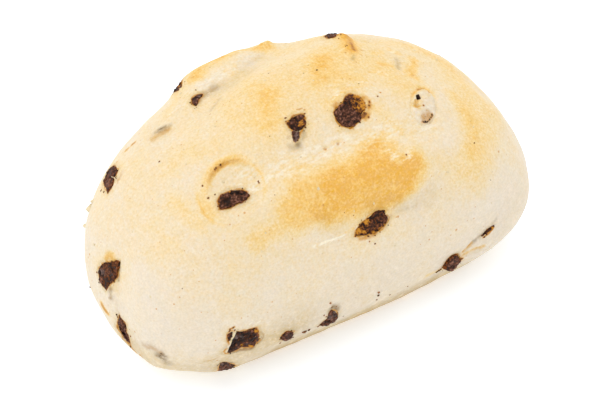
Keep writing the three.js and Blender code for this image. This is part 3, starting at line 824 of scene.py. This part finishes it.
    # the left and front foot, browner and darker with painted shade
    ("loaf", [(194, -6), (201, -7), (209, -8), (216, -6), (222, -4), (229, -3), (238, -2)], 4.6,
     {"baked": 0.12, "shadeAndVeil": 0.22}),
    # the right end's foot, drawn in
    ("loaf", [(-21, 13), (-30, 5), (-34, 2), (-39, -3), (-45, -7), (-52, -10)], 9.0, {"rise": -0.5}),
    # small swells and dips along the edges
    ("loaf", [(233, -16), (252, -19), (273, -19), (294, -17), (306, -15)], 5.0, {"rise": -0.95}),
    ("loaf", [(118, 45), (109, 46), (101, 47), (93, 47)], 3.0, {"rise": 0.5}),
    ("loaf", [(67, 49), (60, 48)], 2.0, {"rise": -0.5}),
    ("loaf", [(33, 43), (30, 40), (27, 38)], 1.8, {"rise": -0.4}),
    ("loaf", [(0, 23), (-5, 21)], 3.0, {"rise": -0.6}),
    ("loaf", [(-15, 13), (-18, 11)], 3.0, {"rise": -0.6}),
    ("loaf", [(167, 12), (170, 7), (173, 1), (178, -2), (188, -6), (198, -8)], 4.0, {"rise": 0.55}),
    ("loaf", [(346, 20), (344, 18), (342, 17)], 3.0, {"rise": 0.7}),
    ("loaf", [(330, 2), (325, 0), (321, -3), (317, -5)], 4.0, {"rise": 0.6}),
    ("loaf", [(211, -14), (215, -14), (217, -15)], 2.5, {"rise": 0.4}),
    # on the crest
    ("loaf", [(38, 48), (36, 48)], 1.2, {"rise": 0.7}),
    ("loaf", [(38, 47), (33, 51), (28, 54)], 1.9, {"baked": 0.42}),
    ("loaf", [(35, 49), (31, 52)], 1.2, {"rise": 0.3}),
    ("loaf", [(37, 47), (34, 49), (31, 51), (27, 54)], 0.9, {"toffee": 0.42, "baked": 1.0, "rise": -0.1}),
    ("loaf", [(32, 43), (30, 42), (27, 42)], 1.4, {"rise": -0.6}),
    ("loaf", [(26, 50), (21, 51), (16, 51)], 1.6, {"rise": -0.35}),
    ("loaf", [(30, 52), (26, 54)], 0.5, {"toffee": 0.45}),
    ("loaf", [(24, 51)], 0.4, {"toffee": 0.5}),
    ("loaf", [(21, 54)], 0.4, {"toffee": 0.5}),
    ("loaf", [(23, 57), (21, 59)], 0.4, {"shadeAndVeil": 0.3}),
    ("chip_crest", [(3.3, -2.4)], 0.2, {"fleck": 1}),
    ("chip_crest", [(1.7, 0.2)], 0.26, {"fleck": 1}),
    ("loaf", [(11, 43), (5, 46)], 0.6, {"shadeAndVeil": 0.35, "rise": -0.25}),
    ("loaf", [(7, 58)], 0.45, {"pale": 0.9, "rise": -0.2}),
    # on the shoulder
    ("chip_shoulder", [(-2.0, -2.0), (-0.8, -1.1), (0.8, -0.2)], 1.1,
     {"toffee": 0.36, "baked": 0.15, "shadeAndVeil": 0.2}),
    ("chip_shoulder", [(-1.8, -0.6), (-0.6, 0.1), (0.6, 0.8), (1.7, 1.2)], 0.42,
     {"hole": 0.4, "shadeAndVeil": 0.3}),
    ("loaf", [(152, 30), (151.8, 30.7)], 0.5, {"toffee": 0.6, "baked": 0.5}),
    ("loaf", [(151.2, 32.6), (151, 33.4)], 0.5, {"toffee": 0.9, "baked": 0.5}),
    # pits and dots
    ("loaf", [(286, 69)], 0.35, {"rise": -0.35, "toffee": 0.5}),
    ("loaf", [(269, 70)], 0.35, {"rise": -0.35, "toffee": 0.4}),
    ("loaf", [(31, 55)], 0.2, {"fleck": 0.9}),
    ("loaf", [(28, 58)], 0.22, {"toffee": 0.7}),
    ("loaf", [(37, 73)], 0.22, {"fleck": 0.6}),
    ("loaf", [(310, 47)], 0.26, {"fleck": 0.7}),
    ("loaf", [(330, 28)], 0.22, {"fleck": 0.8}),
]


pathSteps = 5                     # points along each stretch of a path
farAway = 99.0                    # millimetres, past any mark's reach


def smoothPath(path):
    corners = np.array(path, float)
    if len(corners) < 3:
        return np.linspace(corners[0], corners[-1], pathSteps if len(corners) > 1 else 1)
    first, last = 2 * corners[0] - corners[1], 2 * corners[-1] - corners[-2]
    corners = np.concatenate(([first], corners, [last]))
    route = []
    for before, start, end, after in zip(corners, corners[1:], corners[2:], corners[3:]):
        for share in np.linspace(0, 1, pathSteps + 1, endpoint=False):
            turn = (end - before) * share + (2 * before - 5 * start + 4 * end - after) * share ** 2
            route.append((2 * start + turn + (3 * start - before - 3 * end + after) * share ** 3) / 2)
    return np.array(route + [corners[-2]])


def layOut(where, path):
    if where == "loaf":
        return np.array([onCrust(place)[0] for place in smoothPath(path)])
    return np.array([beside(anchors[where], right, up)[0] for right, up in smoothPath(path)])


def distanceTo(points, route, reach):
    # millimetres from each point to the route, where that is within reach
    distances = np.full(len(points), farAway)
    low, high = route.min(axis=0) - reach * mm, route.max(axis=0) + reach * mm
    near = np.flatnonzero(np.all((points > low) & (points < high), axis=1))
    close = points[near]
    nearest = np.linalg.norm(close - route[0], axis=1)
    for start, end in zip(route, route[1:]):
        along = end - start
        share = np.clip((close - start) @ along / max(along @ along, tiny ** 2), 0, 1)
        nearest = np.minimum(nearest, np.linalg.norm(close - start - share[:, None] * along, axis=1))
    distances[near] = nearest / mm
    return distances


def chipDistances(points, name, reach):
    # how far each point lies outside the chip's outline, along the crust
    seat, outline = anchors[name], chipLooks[name]["outline"]
    offsets = (points - np.array(seat["at"])) / mm
    distances = np.full(len(points), farAway)
    limit = 2.5 * max(length for turn, length in outline) + reach   # an outline is drawn out when aslant
    near = np.flatnonzero(np.linalg.norm(offsets, axis=1) < limit)
    heights = offsets[near] @ np.array(seat["out"])
    flats = offsets[near] - heights[:, None] * np.array(seat["out"])
    right, up = rightAndUp(flats, seat)
    spread = np.linalg.norm(flats, axis=1)
    share = outlineReach(outline, np.arctan2(up, right)) / np.maximum(np.hypot(right, up), tiny)
    level = np.abs(heights) < chocolate["search"]
    distances[near] = np.where(level, spread * (1 - share), farAway)
    return distances


def refine(widest, markReach, chipInside, chipOutside):
    # splits the edges near narrow marks, the bubble, the blister and the chips' outlines
    shape = bmesh.new()
    shape.from_mesh(crust.data)
    shape.edges.ensure_lookup_table()
    middles = np.array([(edge.verts[0].co + edge.verts[1].co) / 2 for edge in shape.edges])
    chosen = np.zeros(len(middles), bool)
    for (where, path, width, effects), route in zip(marks, routes):
        if width <= widest:
            reach = width * markReach + 0.4
            chosen |= distanceTo(middles, route, reach) < reach
    for name, swelling in (("bubble", bubble), ("blister", blister)):
        offsets = middles - np.array(anchors[name]["at"])
        chosen |= np.linalg.norm(offsets, axis=1) < swelling["meshReach"] * mm
    for name in chipNames:
        distances = chipDistances(middles, name, chipOutside)
        chosen |= (distances > -chipInside) & (distances < chipOutside)
    edges = [edge for edge, take in zip(shape.edges, chosen) if take]
    bmesh.ops.subdivide_edges(shape, edges=edges, cuts=1, use_grid_fill=True, smooth=0.6)
    shape.to_mesh(crust.data)
    shape.free()


routes = [layOut(where, path) for where, path, width, effects in marks]
refine(widest=1.3, markReach=1.6, chipInside=1.2, chipOutside=1.6)
refine(widest=0.7, markReach=1.4, chipInside=0.4, chipOutside=0.7)
print("crust mesh:", len(crust.data.vertices), "vertices")


# The crust's relief and tints, one value of each for every vertex

skinDetail = {
    "coarse": (5, 0.12),          # wavelength and height of each size of unevenness
    "fine": (1.3, 0.035),
    "broadMark": 1.5,             # a mark wider than this has a coarsely ragged edge
    "raggedness": 0.45,
    "markEnd": 2.6,               # half widths from a mark's middle to its end
    "fleckStain": (0.5, 1.3),     # strength of the stain round a fleck, and its width in flecks
    "swellingReach": (6, 9),      # how far before or behind its middle a bubble or blister fades out
}
chipSeating = {
    "reach": 2.5,                 # how far round a chip the crust is changed
    "even": (-0.3, 0.5),          # how far outside it the crust's unevenness starts and is full
    "hollow": (0.9, 0.1, 0.6),    # depth under the chip, and how far inside it starts and is full
    "ring": (0.75, 0.3, 0.24),    # strength, raggedness and width of the toffee ring at the edge
    "blots": (0.3, 0.6, 0.55),    # the same for the broken ring outside that
    "breaks": (-0.1, 0.5),        # noise at which that ring starts and is full
    # amount, how far outside the chip and width
    "lip": (0.1, 0.8, 0.5),
    "shadow": (0.14, 0.5, 0.5),
    "browning": (0.12, 0, 1.3),
    "veil": (0.6, -0.4, 0.6),
}
# Amounts with the heights above the table, in millimetres, between which they come in or die away
browning = {
    "everywhere": 0.17,
    "blotches": 0.06,
    "towardsTop": (0.13, 12, 42),
    "soleEdge": (0.22, 0.2, 2.0),
    "foot": (0.32, 0, 9),
    "sole": (0.1, 0.15),          # and how blotchy it is
    "facingDown": (0.7, 0.95),    # how far down the crust has to face for the sole to start and be full
}
# Painted shade, low down and at the sole's edge, with amounts and heights as above
shadows = {
    "soleEdge": (0.14, 0.1, 1.5),
    "foot": (0.36, 0, 10),
    "lowerHalf": (0.17, 2, 32),
    "leftEnd": (0.3, -44, -20),   # the share that is left there, and where along the loaf it ends
    "sole": 0.1,                  # the share that is left under the loaf
}

points = readPoints(crust.data)
normals = readNormals(crust.data)
coarse = noiseAt(points, skinDetail["coarse"][0])
fine = noiseAt(points, skinDetail["fine"][0])
tints = ("baked", "pale", "shadeAndVeil", "toffee", "hole")
skin = {effect: np.zeros(len(points)) for effect in ("rise", "strand", "gold", *tints)}
skin["uneven"] = coarse[:, 0] * skinDetail["coarse"][1] + fine[:, 0] * skinDetail["fine"][1]


def addMark(width, effects, route):
    distances = distanceTo(points, route, width * 3)
    ragged = coarse[:, 1] if width > skinDetail["broadMark"] else fine[:, 1]
    distances = np.maximum(distances + ragged * min(width, 2) * skinDetail["raggedness"], 0)
    share = np.exp(-((distances / width) ** 3)) if "gold" in effects else bell(distances, width)
    share[distances > width * skinDetail["markEnd"]] = 0
    for effect, amount in effects.items():
        if effect == "fleck":
            strength, spread = skinDetail["fleckStain"]
            skin["toffee"] += strength * bell(distances, width * spread)
        elif effect in ("strand", "gold") and amount > 0:
            skin[effect] = np.maximum(skin[effect], amount * share)   # where they cross they don't add up
        else:
            skin[effect] += amount * share


def seenFrom(name):
    seat = anchors[name]
    offsets = (points - np.array(seat["at"])) / mm
    near = 1 - step(np.abs(offsets @ np.array(seat["back"])), *skinDetail["swellingReach"])
    return *rightAndUp(offsets, seat), near


def addBubble():
    # a round dish, deep and steep at its upper left, with a golden torn edge there
    right, up, near = seenFrom("bubble")
    outside = np.hypot(right, up) + fine[:, 1] * bubble["wobble"] - bubble["radius"]
    bearing = np.degrees(np.arctan2(up, right))
    sides = {}
    for side, (middle, spread) in bubble["sides"].items():
        sides[side] = bell((bearing - middle + 180) % 360 - 180, spread)
    steep, shallow = sides["upperLeft"], bubble["shallow"]
    inside, edge = bubble["wall"]
    floor = near * (1 - step(outside, inside - bubble["gentle"] * (1 - steep), edge))
    skin["rise"] -= bubble["depth"] * floor * (shallow + (1 - shallow) * steep)
    for effect, amount, middle, width, side in bubble["bands"]:
        skin[effect] += near * amount * bell(outside - middle, width) * sides[side]
    for effect, amount, middle, width in bubble["tornEdge"]:
        skin[effect] += near * amount * bell(outside - middle, width) * steep ** 1.5
    for effect, amount in bubble["floor"].items():
        skin[effect] += amount * floor
    swellRight, swellUp, width, height = bubble["swell"]
    skin["rise"] += near * height * bell(np.hypot(right - swellRight, up - swellUp), width)


def addBlister():
    # a thin raised skin with a groove round it
    right, up, near = seenFrom("blister")
    reach = np.hypot(right / blister["half"][0], up / blister["half"][1])
    middle, width, depth = blister["groove"]
    skin["rise"] += near * blister["rise"] * np.sqrt(np.maximum(1 - reach ** 2, 0))
    skin["rise"] -= near * depth * bell(reach - middle, width)
    start, end, thinSkin = blister["skin"]
    for effect, amount in thinSkin.items():
        skin[effect] += amount * near * (1 - step(reach, start, end))
    start, end, amount = blister["shadow"]
    skin["shadeAndVeil"] += near * amount * (1 - step(reach, start, end))
    middle, width, strength = blister["goldenEdge"]
    skin["baked"] += near * strength * bell(reach - middle, width) * step(up, 1.5, 3)


def seatInCrust(name):
    distances = chipDistances(points, name, chipSeating["reach"])
    if "veil" in chipLooks[name]:
        amount, middle, width = chipSeating["veil"]
        veil = chipLooks[name]["veil"] * amount
        skin["shadeAndVeil"] += veil * bell(np.maximum(distances - middle, 0), width)
        return
    skin["uneven"] *= step(distances, *chipSeating["even"])
    depth, start, end = chipSeating["hollow"]
    bare = 1 - np.minimum(skin["strand"], 1)
    skin["rise"] -= depth * step(-distances, start, end) * bare
    strength, ragged, width = chipSeating["blots"]
    broken = step(fine[:, 0], *chipSeating["breaks"])
    skin["toffee"] += strength * bell(distances + fine[:, 2] * ragged, width) * broken
    strength, ragged, width = chipSeating["ring"]
    skin["toffee"] += strength * bell(distances + fine[:, 1] * ragged, width)
    for effect, kind in (("rise", "lip"), ("shadeAndVeil", "shadow"), ("baked", "browning")):
        amount, middle, width = chipSeating[kind]
        skin[effect] += amount * bell(distances - middle, width)


def comeIn(level, amount, start, end):
    return amount * step(level, start, end)


def dieAway(level, amount, start, end):
    return amount * (1 - step(level, start, end))


def bakeThrough():
    # browner towards the top and the foot, with painted shade low down, less at the left end, and golden
    # underneath
    level = points[:, 2] / mm
    leftShare, leftEnd, leftStart = shadows["leftEnd"]
    shaded = leftShare + (1 - leftShare) * step(points[:, 0] / mm, leftEnd, leftStart)
    skin["baked"] += browning["everywhere"] + coarse[:, 1] * browning["blotches"] + skin["gold"]
    skin["baked"] += comeIn(level, *browning["towardsTop"]) + dieAway(level, *browning["soleEdge"])
    skin["baked"] += dieAway(level, *browning["foot"]) * shaded
    skin["shadeAndVeil"] += dieAway(level, *shadows["soleEdge"])
    skin["shadeAndVeil"] += (dieAway(level, *shadows["foot"]) + dieAway(level, *shadows["lowerHalf"])) * shaded
    under = step(-normals[:, 2], *browning["facingDown"])
    amount, blotches = browning["sole"]
    skin["shadeAndVeil"] *= 1 - (1 - shadows["sole"]) * under
    skin["baked"] += under * (amount + coarse[:, 2] * blotches)


for (where, path, width, effects), route in zip(marks, routes):
    addMark(width, effects, route)
addBubble()
addBlister()
for name in chipNames:
    seatInCrust(name)
bakeThrough()

points += normals * (skin["rise"] + skin["uneven"])[:, None] * mm
points[:, 2] = np.maximum(points[:, 2], lift)
writePoints(crust.data, points)
crust.data.shade_smooth()
for name in tints:
    writeAttribute(crust.data, name, skin[name])
print("crust relief and tints done")


# Specks of chocolate and flakes of crust, one joined piece of each

crumbs = {
    "seed": 11,
    "stretch": (0.8, 1.5),        # length against width
    "bumps": 0.5,
    "fleckSizes": (0.6, 0.9),     # radius of a marked fleck against its mark's width
    "byChip": 7,                  # specks round each chip that isn't veiled
    "fromChip": 1 / 3,            # how far outside its outline they lie, on average
    "chipSizes": (0.08, 0.22),
    "speckThickness": 0.7,
    "strays": 30,                 # specks anywhere else
    "strayRises": (-10, 80),
    "straySizes": (0.06, 0.12),
    "strayThickness": 0.5,
    "flakes": 70,
    "flakeRises": (0, 80),
    "flakeSizes": (0.12, 0.34),
    "flakeThickness": 0.2,
    # places and radii of the flakes that stand out at the left end, and of single specks
    "standing": [((161, 14), 1.1), ((160, 16), 0.8), ((164, 11), 0.6)],
    "standingThickness": 0.3,
    "upright": 1.5,               # how far they turn from lying flat towards facing up
    "placed": [((240, -9), 0.5), ((242, -9), 0.35), ((275, -9), 0.26), ((275, -5), 0.3), ((275, -3), 0.3),
               ((282, -10), 0.2), ((291, -10), 0.2), ((231, -10), 0.25), ((311, -6), 0.25),
               ((161, 21), 0.24), ((174, -1), 0.24), ((169, 41), 0.2), ((160, 14), 0.25)],
}
random.seed(crumbs["seed"])
crustTree = treeOf(crust)


def addCrumb(shape, point, normal, radius, thickness):
    turn = normal.to_track_quat("Z", "Y").to_matrix().to_4x4()
    spin = Matrix.Rotation(random.uniform(0, math.tau), 4, "Z")
    length = radius * random.uniform(*crumbs["stretch"])
    size = Matrix.Diagonal((length, radius, radius * thickness, 1))
    place = Matrix.Translation(point) @ turn @ spin @ size
    made = bmesh.ops.create_icosphere(shape, subdivisions=2, radius=mm, matrix=place)
    for vertex in made["verts"]:
        vertex.co += noise.noise_vector(vertex.co / (radius * mm)) * radius * crumbs["bumps"] * mm
        vertex.co.z = max(vertex.co.z, lift)


def joinedPiece(name, shape):
    mesh = bpy.data.meshes.new(name)
    shape.to_mesh(mesh)
    shape.free()
    mesh.shade_smooth()
    return addObject(name, mesh)


def makeSpecks():
    shape = bmesh.new()
    thickness = crumbs["speckThickness"]
    for (where, path, width, effects), route in zip(marks, routes):
        if "fleck" in effects:
            for corner in route[::3]:
                point, normal = crustTree.find_nearest(Vector(corner))[:2]
                addCrumb(shape, point, normal, width * random.uniform(*crumbs["fleckSizes"]), thickness)
    for place, radius in crumbs["placed"]:
        addCrumb(shape, *onCrust(place), radius, thickness)
    for name, look in chipLooks.items():
        if "veil" in look:
            continue
        for i in range(crumbs["byChip"]):
            angle = random.uniform(0, math.tau)
            reach = outlineReach(look["outline"], np.array([angle]))[0]
            reach += random.expovariate(1 / crumbs["fromChip"])
            point, normal = beside(anchors[name], reach * math.cos(angle), reach * math.sin(angle))
            addCrumb(shape, point, normal, random.uniform(*crumbs["chipSizes"]), thickness)
    for i in range(crumbs["strays"]):
        point, normal = onCrust((random.uniform(0, 360), random.uniform(*crumbs["strayRises"])))
        addCrumb(shape, point, normal, random.uniform(*crumbs["straySizes"]), crumbs["strayThickness"])
    return joinedPiece("chocolate_specks", shape)


def makeFlakes():
    shape = bmesh.new()
    for place, radius in crumbs["standing"]:
        point, normal = onCrust(place)
        upright = (normal + Vector((0, 0, crumbs["upright"]))).normalized()
        addCrumb(shape, point, upright, radius, crumbs["standingThickness"])
    for i in range(crumbs["flakes"]):
        point, normal = onCrust((random.uniform(0, 360), random.uniform(*crumbs["flakeRises"])))
        addCrumb(shape, point, normal, random.uniform(*crumbs["flakeSizes"]), crumbs["flakeThickness"])
    return joinedPiece("crust_flakes", shape)


specks = makeSpecks()
flakes = makeFlakes()
print("specks and flakes:", len(specks.data.polygons) + len(flakes.data.polygons), "faces")


# Materials

def newMaterial(name):
    material = bpy.data.materials.new(name)
    material.use_nodes = True
    return material, material.node_tree, material.node_tree.nodes["Principled BSDF"]


def addNode(tree, kind, inputs=(), **settings):
    node = tree.nodes.new(kind)
    for name, value in settings.items():
        setattr(node, name, value)
    for name, value in dict(inputs).items():
        if isinstance(value, bpy.types.NodeSocket):
            tree.links.new(value, node.inputs[name])
        else:
            node.inputs[name].default_value = value
    return node


def readTint(tree, name):
    return addNode(tree, "ShaderNodeAttribute", attribute_name=name).outputs["Fac"]


def maths(tree, operation, first, second):
    return addNode(tree, "ShaderNodeMath", {0: first, 1: second}, operation=operation).outputs[0]


def offCentre(tree, value, amount):
    # noise about a half becomes a swing about nothing
    return maths(tree, "MULTIPLY", maths(tree, "SUBTRACT", value, 0.5), amount)


def blendColours(tree, share, first, second):
    node = addNode(tree, "ShaderNodeMix", {0: share, 6: first, 7: second}, data_type="RGBA")
    return node.outputs[2]


def grainNoise(tree, place, wavelength, detail=2.0, roughness=0.5):
    size = {"Vector": place, "Scale": 1 / (wavelength * mm), "Detail": detail, "Roughness": roughness}
    return addNode(tree, "ShaderNodeTexNoise", size).outputs["Fac"]


def ramp(tree, value, stops):
    node = addNode(tree, "ShaderNodeValToRGB", {"Fac": value})
    elements = node.color_ramp.elements
    while len(elements) < len(stops):
        elements.new(0.5)
    for element, (position, colour) in zip(elements, stops):
        element.position = position
        element.color = (*colour, 1)
    return node.outputs["Color"]


def window(tree, value, start, end):
    # 0 up to the start, 1 from the end, and smooth between
    settings = {"Value": value, "From Min": start, "From Max": end, "To Min": 0.0, "To Max": 1.0}
    return addNode(tree, "ShaderNodeMapRange", settings, interpolation_type="SMOOTHSTEP").outputs[0]


# Colours are linear light. A noise is its wavelength in millimetres, its detail and its roughness.
bake = {
    "noises": {
        "broad": (8, 3),
        "mottle": (1.9, 4, 0.7),
        "grit": (0.5, 3, 0.7),
        "stain": (0.7, 2),
        "crumbly": (0.9, 4, 0.7),
    },
    "fibres": (0.9, 4, 0.65),
    "fibreTurn": 0.25,
    "fibreScale": (0.4, 1, 1),    # fibres are drawn out along the loaf
    # how much each noise changes the baking, the brightness and the depth of colour
    "baking": {"broad": 0.22, "mottle": 0.8, "grit": 1.1, "stain": 0.2, "fibres": -2.0},
    "brightness": {"mottle": -0.12, "grit": -0.36},
    "depth": {"fibres": 0.25, "stain": 0.2},
    "stops": [
        (0.0, (0.74, 0.65, 0.54)),
        (0.2, (0.765, 0.65, 0.485)),
        (0.35, (0.79, 0.625, 0.375)),
        (0.5, (0.8, 0.59, 0.285)),
        (0.65, (0.805, 0.545, 0.205)),
        (0.8, (0.795, 0.495, 0.145)),
        (1.0, (0.77, 0.425, 0.09)),
    ],
    "pale": (0.88, 0.79, 0.6, 1),
    "toffee": (0.57, 0.275, 0.055, 1),
    "rust": (0.24, 0.08, 0.016, 1),
    "shadeAndVeil": (0.22, 0.145, 0.07, 1),
    "dark": (0.03, 0.012, 0.006, 1),
    "freckles": [(1.5, 0.26, 0.8), (3.2, 0.45, 0.8)],   # spacing, greatest radius and strength
    "freckleCore": 0.4,           # the share of a freckle that is full strength
    "freckle": (0.6, 0.3, 0.09, 1),
    # where in the mottling or the fibres each tint's patches start and are full
    "patches": {"pale": (0.46, 0.66), "shadeAndVeil": (0.2, 0.55), "toffee": (0.15, 0.5)},
    # how strong the toffee or the hole has to be for each colour to start and be full
    "shows": {"toffee": (0.02, 0.75), "rust": (0.65, 1.15), "dark": (0.42, 0.6)},
    "raggedToffee": 0.25,
    "raggedHoles": 1.2,
    "bump": (0.5, 0.14),          # strength and height
    "gritBump": 0.5,              # how high the grit is against the mottling
    "surface": {
        "Roughness": 0.55,
        "Specular IOR Level": 0.18,
        "Subsurface Weight": 0.12,
        "Subsurface Radius": (1.0, 0.6, 0.3),
        "Subsurface Scale": 1.0 * mm,
    },
}


def addRelief(tree, height, strength, distance):
    settings = {"Height": height, "Strength": strength, "Distance": distance * mm}
    return addNode(tree, "ShaderNodeBump", settings).outputs[0]


def patches(tree, tint, pattern):
    # a tint of the crust, broken up by a noise
    return maths(tree, "MULTIPLY", readTint(tree, tint), window(tree, pattern, *bake["patches"][tint]))


def makeNoises(tree, place):
    turned = {"Vector": place, "Rotation": (0, 0, bake["fibreTurn"]), "Scale": bake["fibreScale"]}
    along = addNode(tree, "ShaderNodeMapping", turned).outputs[0]
    noises = {name: grainNoise(tree, place, *size) for name, size in bake["noises"].items()}
    noises["fibres"] = grainNoise(tree, along, *bake["fibres"])
    return noises


def swings(tree, noises, amounts):
    return {name: offCentre(tree, noises[name], amount) for name, amount in amounts.items()}


def bakedColour(tree, noises):
    swing = swings(tree, noises, bake["baking"])
    baked = maths(tree, "ADD", readTint(tree, "baked"), swing["broad"])
    uneven = maths(tree, "ADD", swing["mottle"], swing["grit"])
    baked = maths(tree, "MULTIPLY", baked, maths(tree, "ADD", uneven, 1.0))
    streaks = maths(tree, "MULTIPLY", readTint(tree, "pale"), swing["fibres"])
    streaks = maths(tree, "ADD", streaks, swing["stain"])
    colour = ramp(tree, maths(tree, "ADD", baked, streaks), bake["stops"])
    return blendColours(tree, patches(tree, "pale", noises["fibres"]), colour, bake["pale"])


def addFreckles(tree, place, colour):
    for spacing, radius, strength in bake["freckles"]:
        cells = addNode(tree, "ShaderNodeTexVoronoi", {"Vector": place, "Scale": 1 / (spacing * mm)})
        chance = addNode(tree, "ShaderNodeSeparateColor", {"Color": cells.outputs["Color"]})
        size = maths(tree, "POWER", chance.outputs["Red"], 2.0)   # most cells have hardly any
        size = maths(tree, "ADD", maths(tree, "MULTIPLY", size, radius / spacing), 0.001)
        inside = maths(tree, "DIVIDE", cells.outputs["Distance"], size)
        share = maths(tree, "MULTIPLY", window(tree, inside, 1.0, bake["freckleCore"]), strength)
        colour = blendColours(tree, share, colour, bake["freckle"])
    return colour


def addStains(tree, noises, colour):
    mottle = noises["mottle"]
    # the grey tint: painted shade, and chips seen through thin dough
    colour = blendColours(tree, patches(tree, "shadeAndVeil", mottle), colour, bake["shadeAndVeil"])
    ragged = offCentre(tree, noises["grit"], bake["raggedToffee"])
    toffee = maths(tree, "ADD", patches(tree, "toffee", mottle), ragged)
    # the hole tint darkens the crust where chips show through thin dough, and paints the shade in the
    # blister's hole
    ragged = offCentre(tree, noises["crumbly"], bake["raggedHoles"])
    hole = maths(tree, "ADD", readTint(tree, "hole"), ragged)
    for name, stain in (("toffee", toffee), ("rust", toffee), ("dark", hole)):
        colour = blendColours(tree, window(tree, stain, *bake["shows"][name]), colour, bake[name])
    return colour


def addGrit(tree, noises, colour):
    brighter = swings(tree, noises, bake["brightness"])
    brighter = maths(tree, "ADD", brighter["mottle"], brighter["grit"])
    deeper = swings(tree, noises, bake["depth"])
    deeper = maths(tree, "ADD", deeper["fibres"], deeper["stain"])
    change = {"Color": colour, "Value": maths(tree, "ADD", brighter, 1.0)}
    change["Saturation"] = maths(tree, "ADD", deeper, 1.0)
    return addNode(tree, "ShaderNodeHueSaturation", change).outputs["Color"]


def makeCrustMaterial():
    material, tree, surface = newMaterial("brioche crust")
    place = addNode(tree, "ShaderNodeTexCoord").outputs["Object"]
    noises = makeNoises(tree, place)
    colour = addFreckles(tree, place, bakedColour(tree, noises))
    colour = addGrit(tree, noises, addStains(tree, noises, colour))
    tree.links.new(colour, surface.inputs["Base Color"])
    grit = maths(tree, "MULTIPLY", noises["grit"], bake["gritBump"])
    height = maths(tree, "ADD", noises["mottle"], grit)
    tree.links.new(addRelief(tree, height, *bake["bump"]), surface.inputs["Normal"])
    setSurface(surface, bake["surface"])
    return material


chipColours = {
    "crumb": (0.55, 3, 0.6),
    "contrast": 2.6,              # how much the crumb changes the brightness and the amber
    "filmContrast": 2.4,          # and the film
    "darkPatch": 0.4,             # how much darker a dark patch is
    # the chip's colour, from painted shade in its hollows and at its edge up to painted light on its bumps
    "stops": [
        (0.1, (0.014, 0.005, 0.003)),
        (0.45, (0.058, 0.02, 0.009)),
        (0.75, (0.135, 0.053, 0.033)),
        (1.0, (0.3, 0.145, 0.1)),
    ],
    "rusty": (0.26, 0.075, 0.014, 1),
    "thinAmber": (0.21, 0.07, 0.014, 1),
    "amber": (0.58, 0.25, 0.03, 1),
    "film": (0.19, 0.14, 0.125, 1),
    # where in the crumb the rim and the roughness start and are full
    "rimPatches": (0.44, 0.55),
    "roughPatches": (0.35, 0.65),
    # how strong the amber or the film has to be for each colour to start and be full
    "shows": {"thinAmber": (0.3, 0.6), "amber": (0.55, 1.0), "film": (0.4, 1.2)},
    "rimStrength": 0.9,
    "filmStrength": 0.7,
    "smoothest": 0.3,
    "bump": (1.0, 0.18),
    "surface": {"Specular IOR Level": 0.14},
}


def chipColour(tree, crumb):
    shows = chipColours["shows"]
    swing = offCentre(tree, crumb, chipColours["contrast"])
    toneAndShade = maths(tree, "ADD", readTint(tree, "toneAndShade"), swing)
    dark = maths(tree, "MULTIPLY", readTint(tree, "dark"), chipColours["darkPatch"])
    colour = ramp(tree, maths(tree, "SUBTRACT", toneAndShade, dark), chipColours["stops"])
    rim = maths(tree, "MULTIPLY", readTint(tree, "rim"), window(tree, crumb, *chipColours["rimPatches"]))
    rim = maths(tree, "MULTIPLY", rim, chipColours["rimStrength"])
    colour = blendColours(tree, rim, colour, chipColours["rusty"])
    amber = maths(tree, "ADD", readTint(tree, "amber"), swing)
    for name in ("thinAmber", "amber"):
        colour = blendColours(tree, window(tree, amber, *shows[name]), colour, chipColours[name])
    swing = offCentre(tree, crumb, chipColours["filmContrast"])
    film = window(tree, maths(tree, "ADD", readTint(tree, "film"), swing), *shows["film"])
    film = maths(tree, "MULTIPLY", film, chipColours["filmStrength"])
    return blendColours(tree, film, colour, chipColours["film"])


def makeChocolateMaterial():
    material, tree, surface = newMaterial("baked chocolate")
    place = addNode(tree, "ShaderNodeTexCoord").outputs["Object"]
    crumb = grainNoise(tree, place, *chipColours["crumb"])
    rough = window(tree, crumb, *chipColours["roughPatches"])
    rough = maths(tree, "ADD", rough, chipColours["smoothest"])
    tree.links.new(chipColour(tree, crumb), surface.inputs["Base Color"])
    tree.links.new(rough, surface.inputs["Roughness"])
    tree.links.new(addRelief(tree, crumb, *chipColours["bump"]), surface.inputs["Normal"])
    setSurface(surface, chipColours["surface"])
    return material


crumbColours = {
    # colour, and how bright the darkest parts are against it
    "chocolate specks": ((0.3, 0.12, 0.035, 1), 0.2),
    "crust flakes": ((0.8, 0.66, 0.42, 1), 0.85),
    "unevenness": (1.4, 3),
    "darkPatches": (0.35, 0.65),
    "surface": {"Roughness": 0.6, "Specular IOR Level": 0.2},
}


def makeCrumbMaterial(name):
    colour, darkest = crumbColours[name]
    material, tree, surface = newMaterial(name)
    place = addNode(tree, "ShaderNodeTexCoord").outputs["Object"]
    unevenness = grainNoise(tree, place, *crumbColours["unevenness"])
    shade = window(tree, unevenness, *crumbColours["darkPatches"])
    darker = tuple(part * darkest for part in colour[:3]) + (1,)
    tree.links.new(blendColours(tree, shade, colour, darker), surface.inputs["Base Color"])
    setSurface(surface, crumbColours["surface"])
    return material


crust.data.materials.clear()
crust.data.materials.append(makeCrustMaterial())
specks.data.materials.append(makeCrumbMaterial("chocolate specks"))
flakes.data.materials.append(makeCrumbMaterial("crust flakes"))
chocolateMaterial = makeChocolateMaterial()
for name, chip in chips.items():
    chip.data.materials.clear()
    chip.data.materials.append(chocolateMaterial)
    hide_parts(name)
    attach(chip, "root")
print("materials made")

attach(specks, "root")
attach(flakes, "root")
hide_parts("bun")
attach(crust, "root")
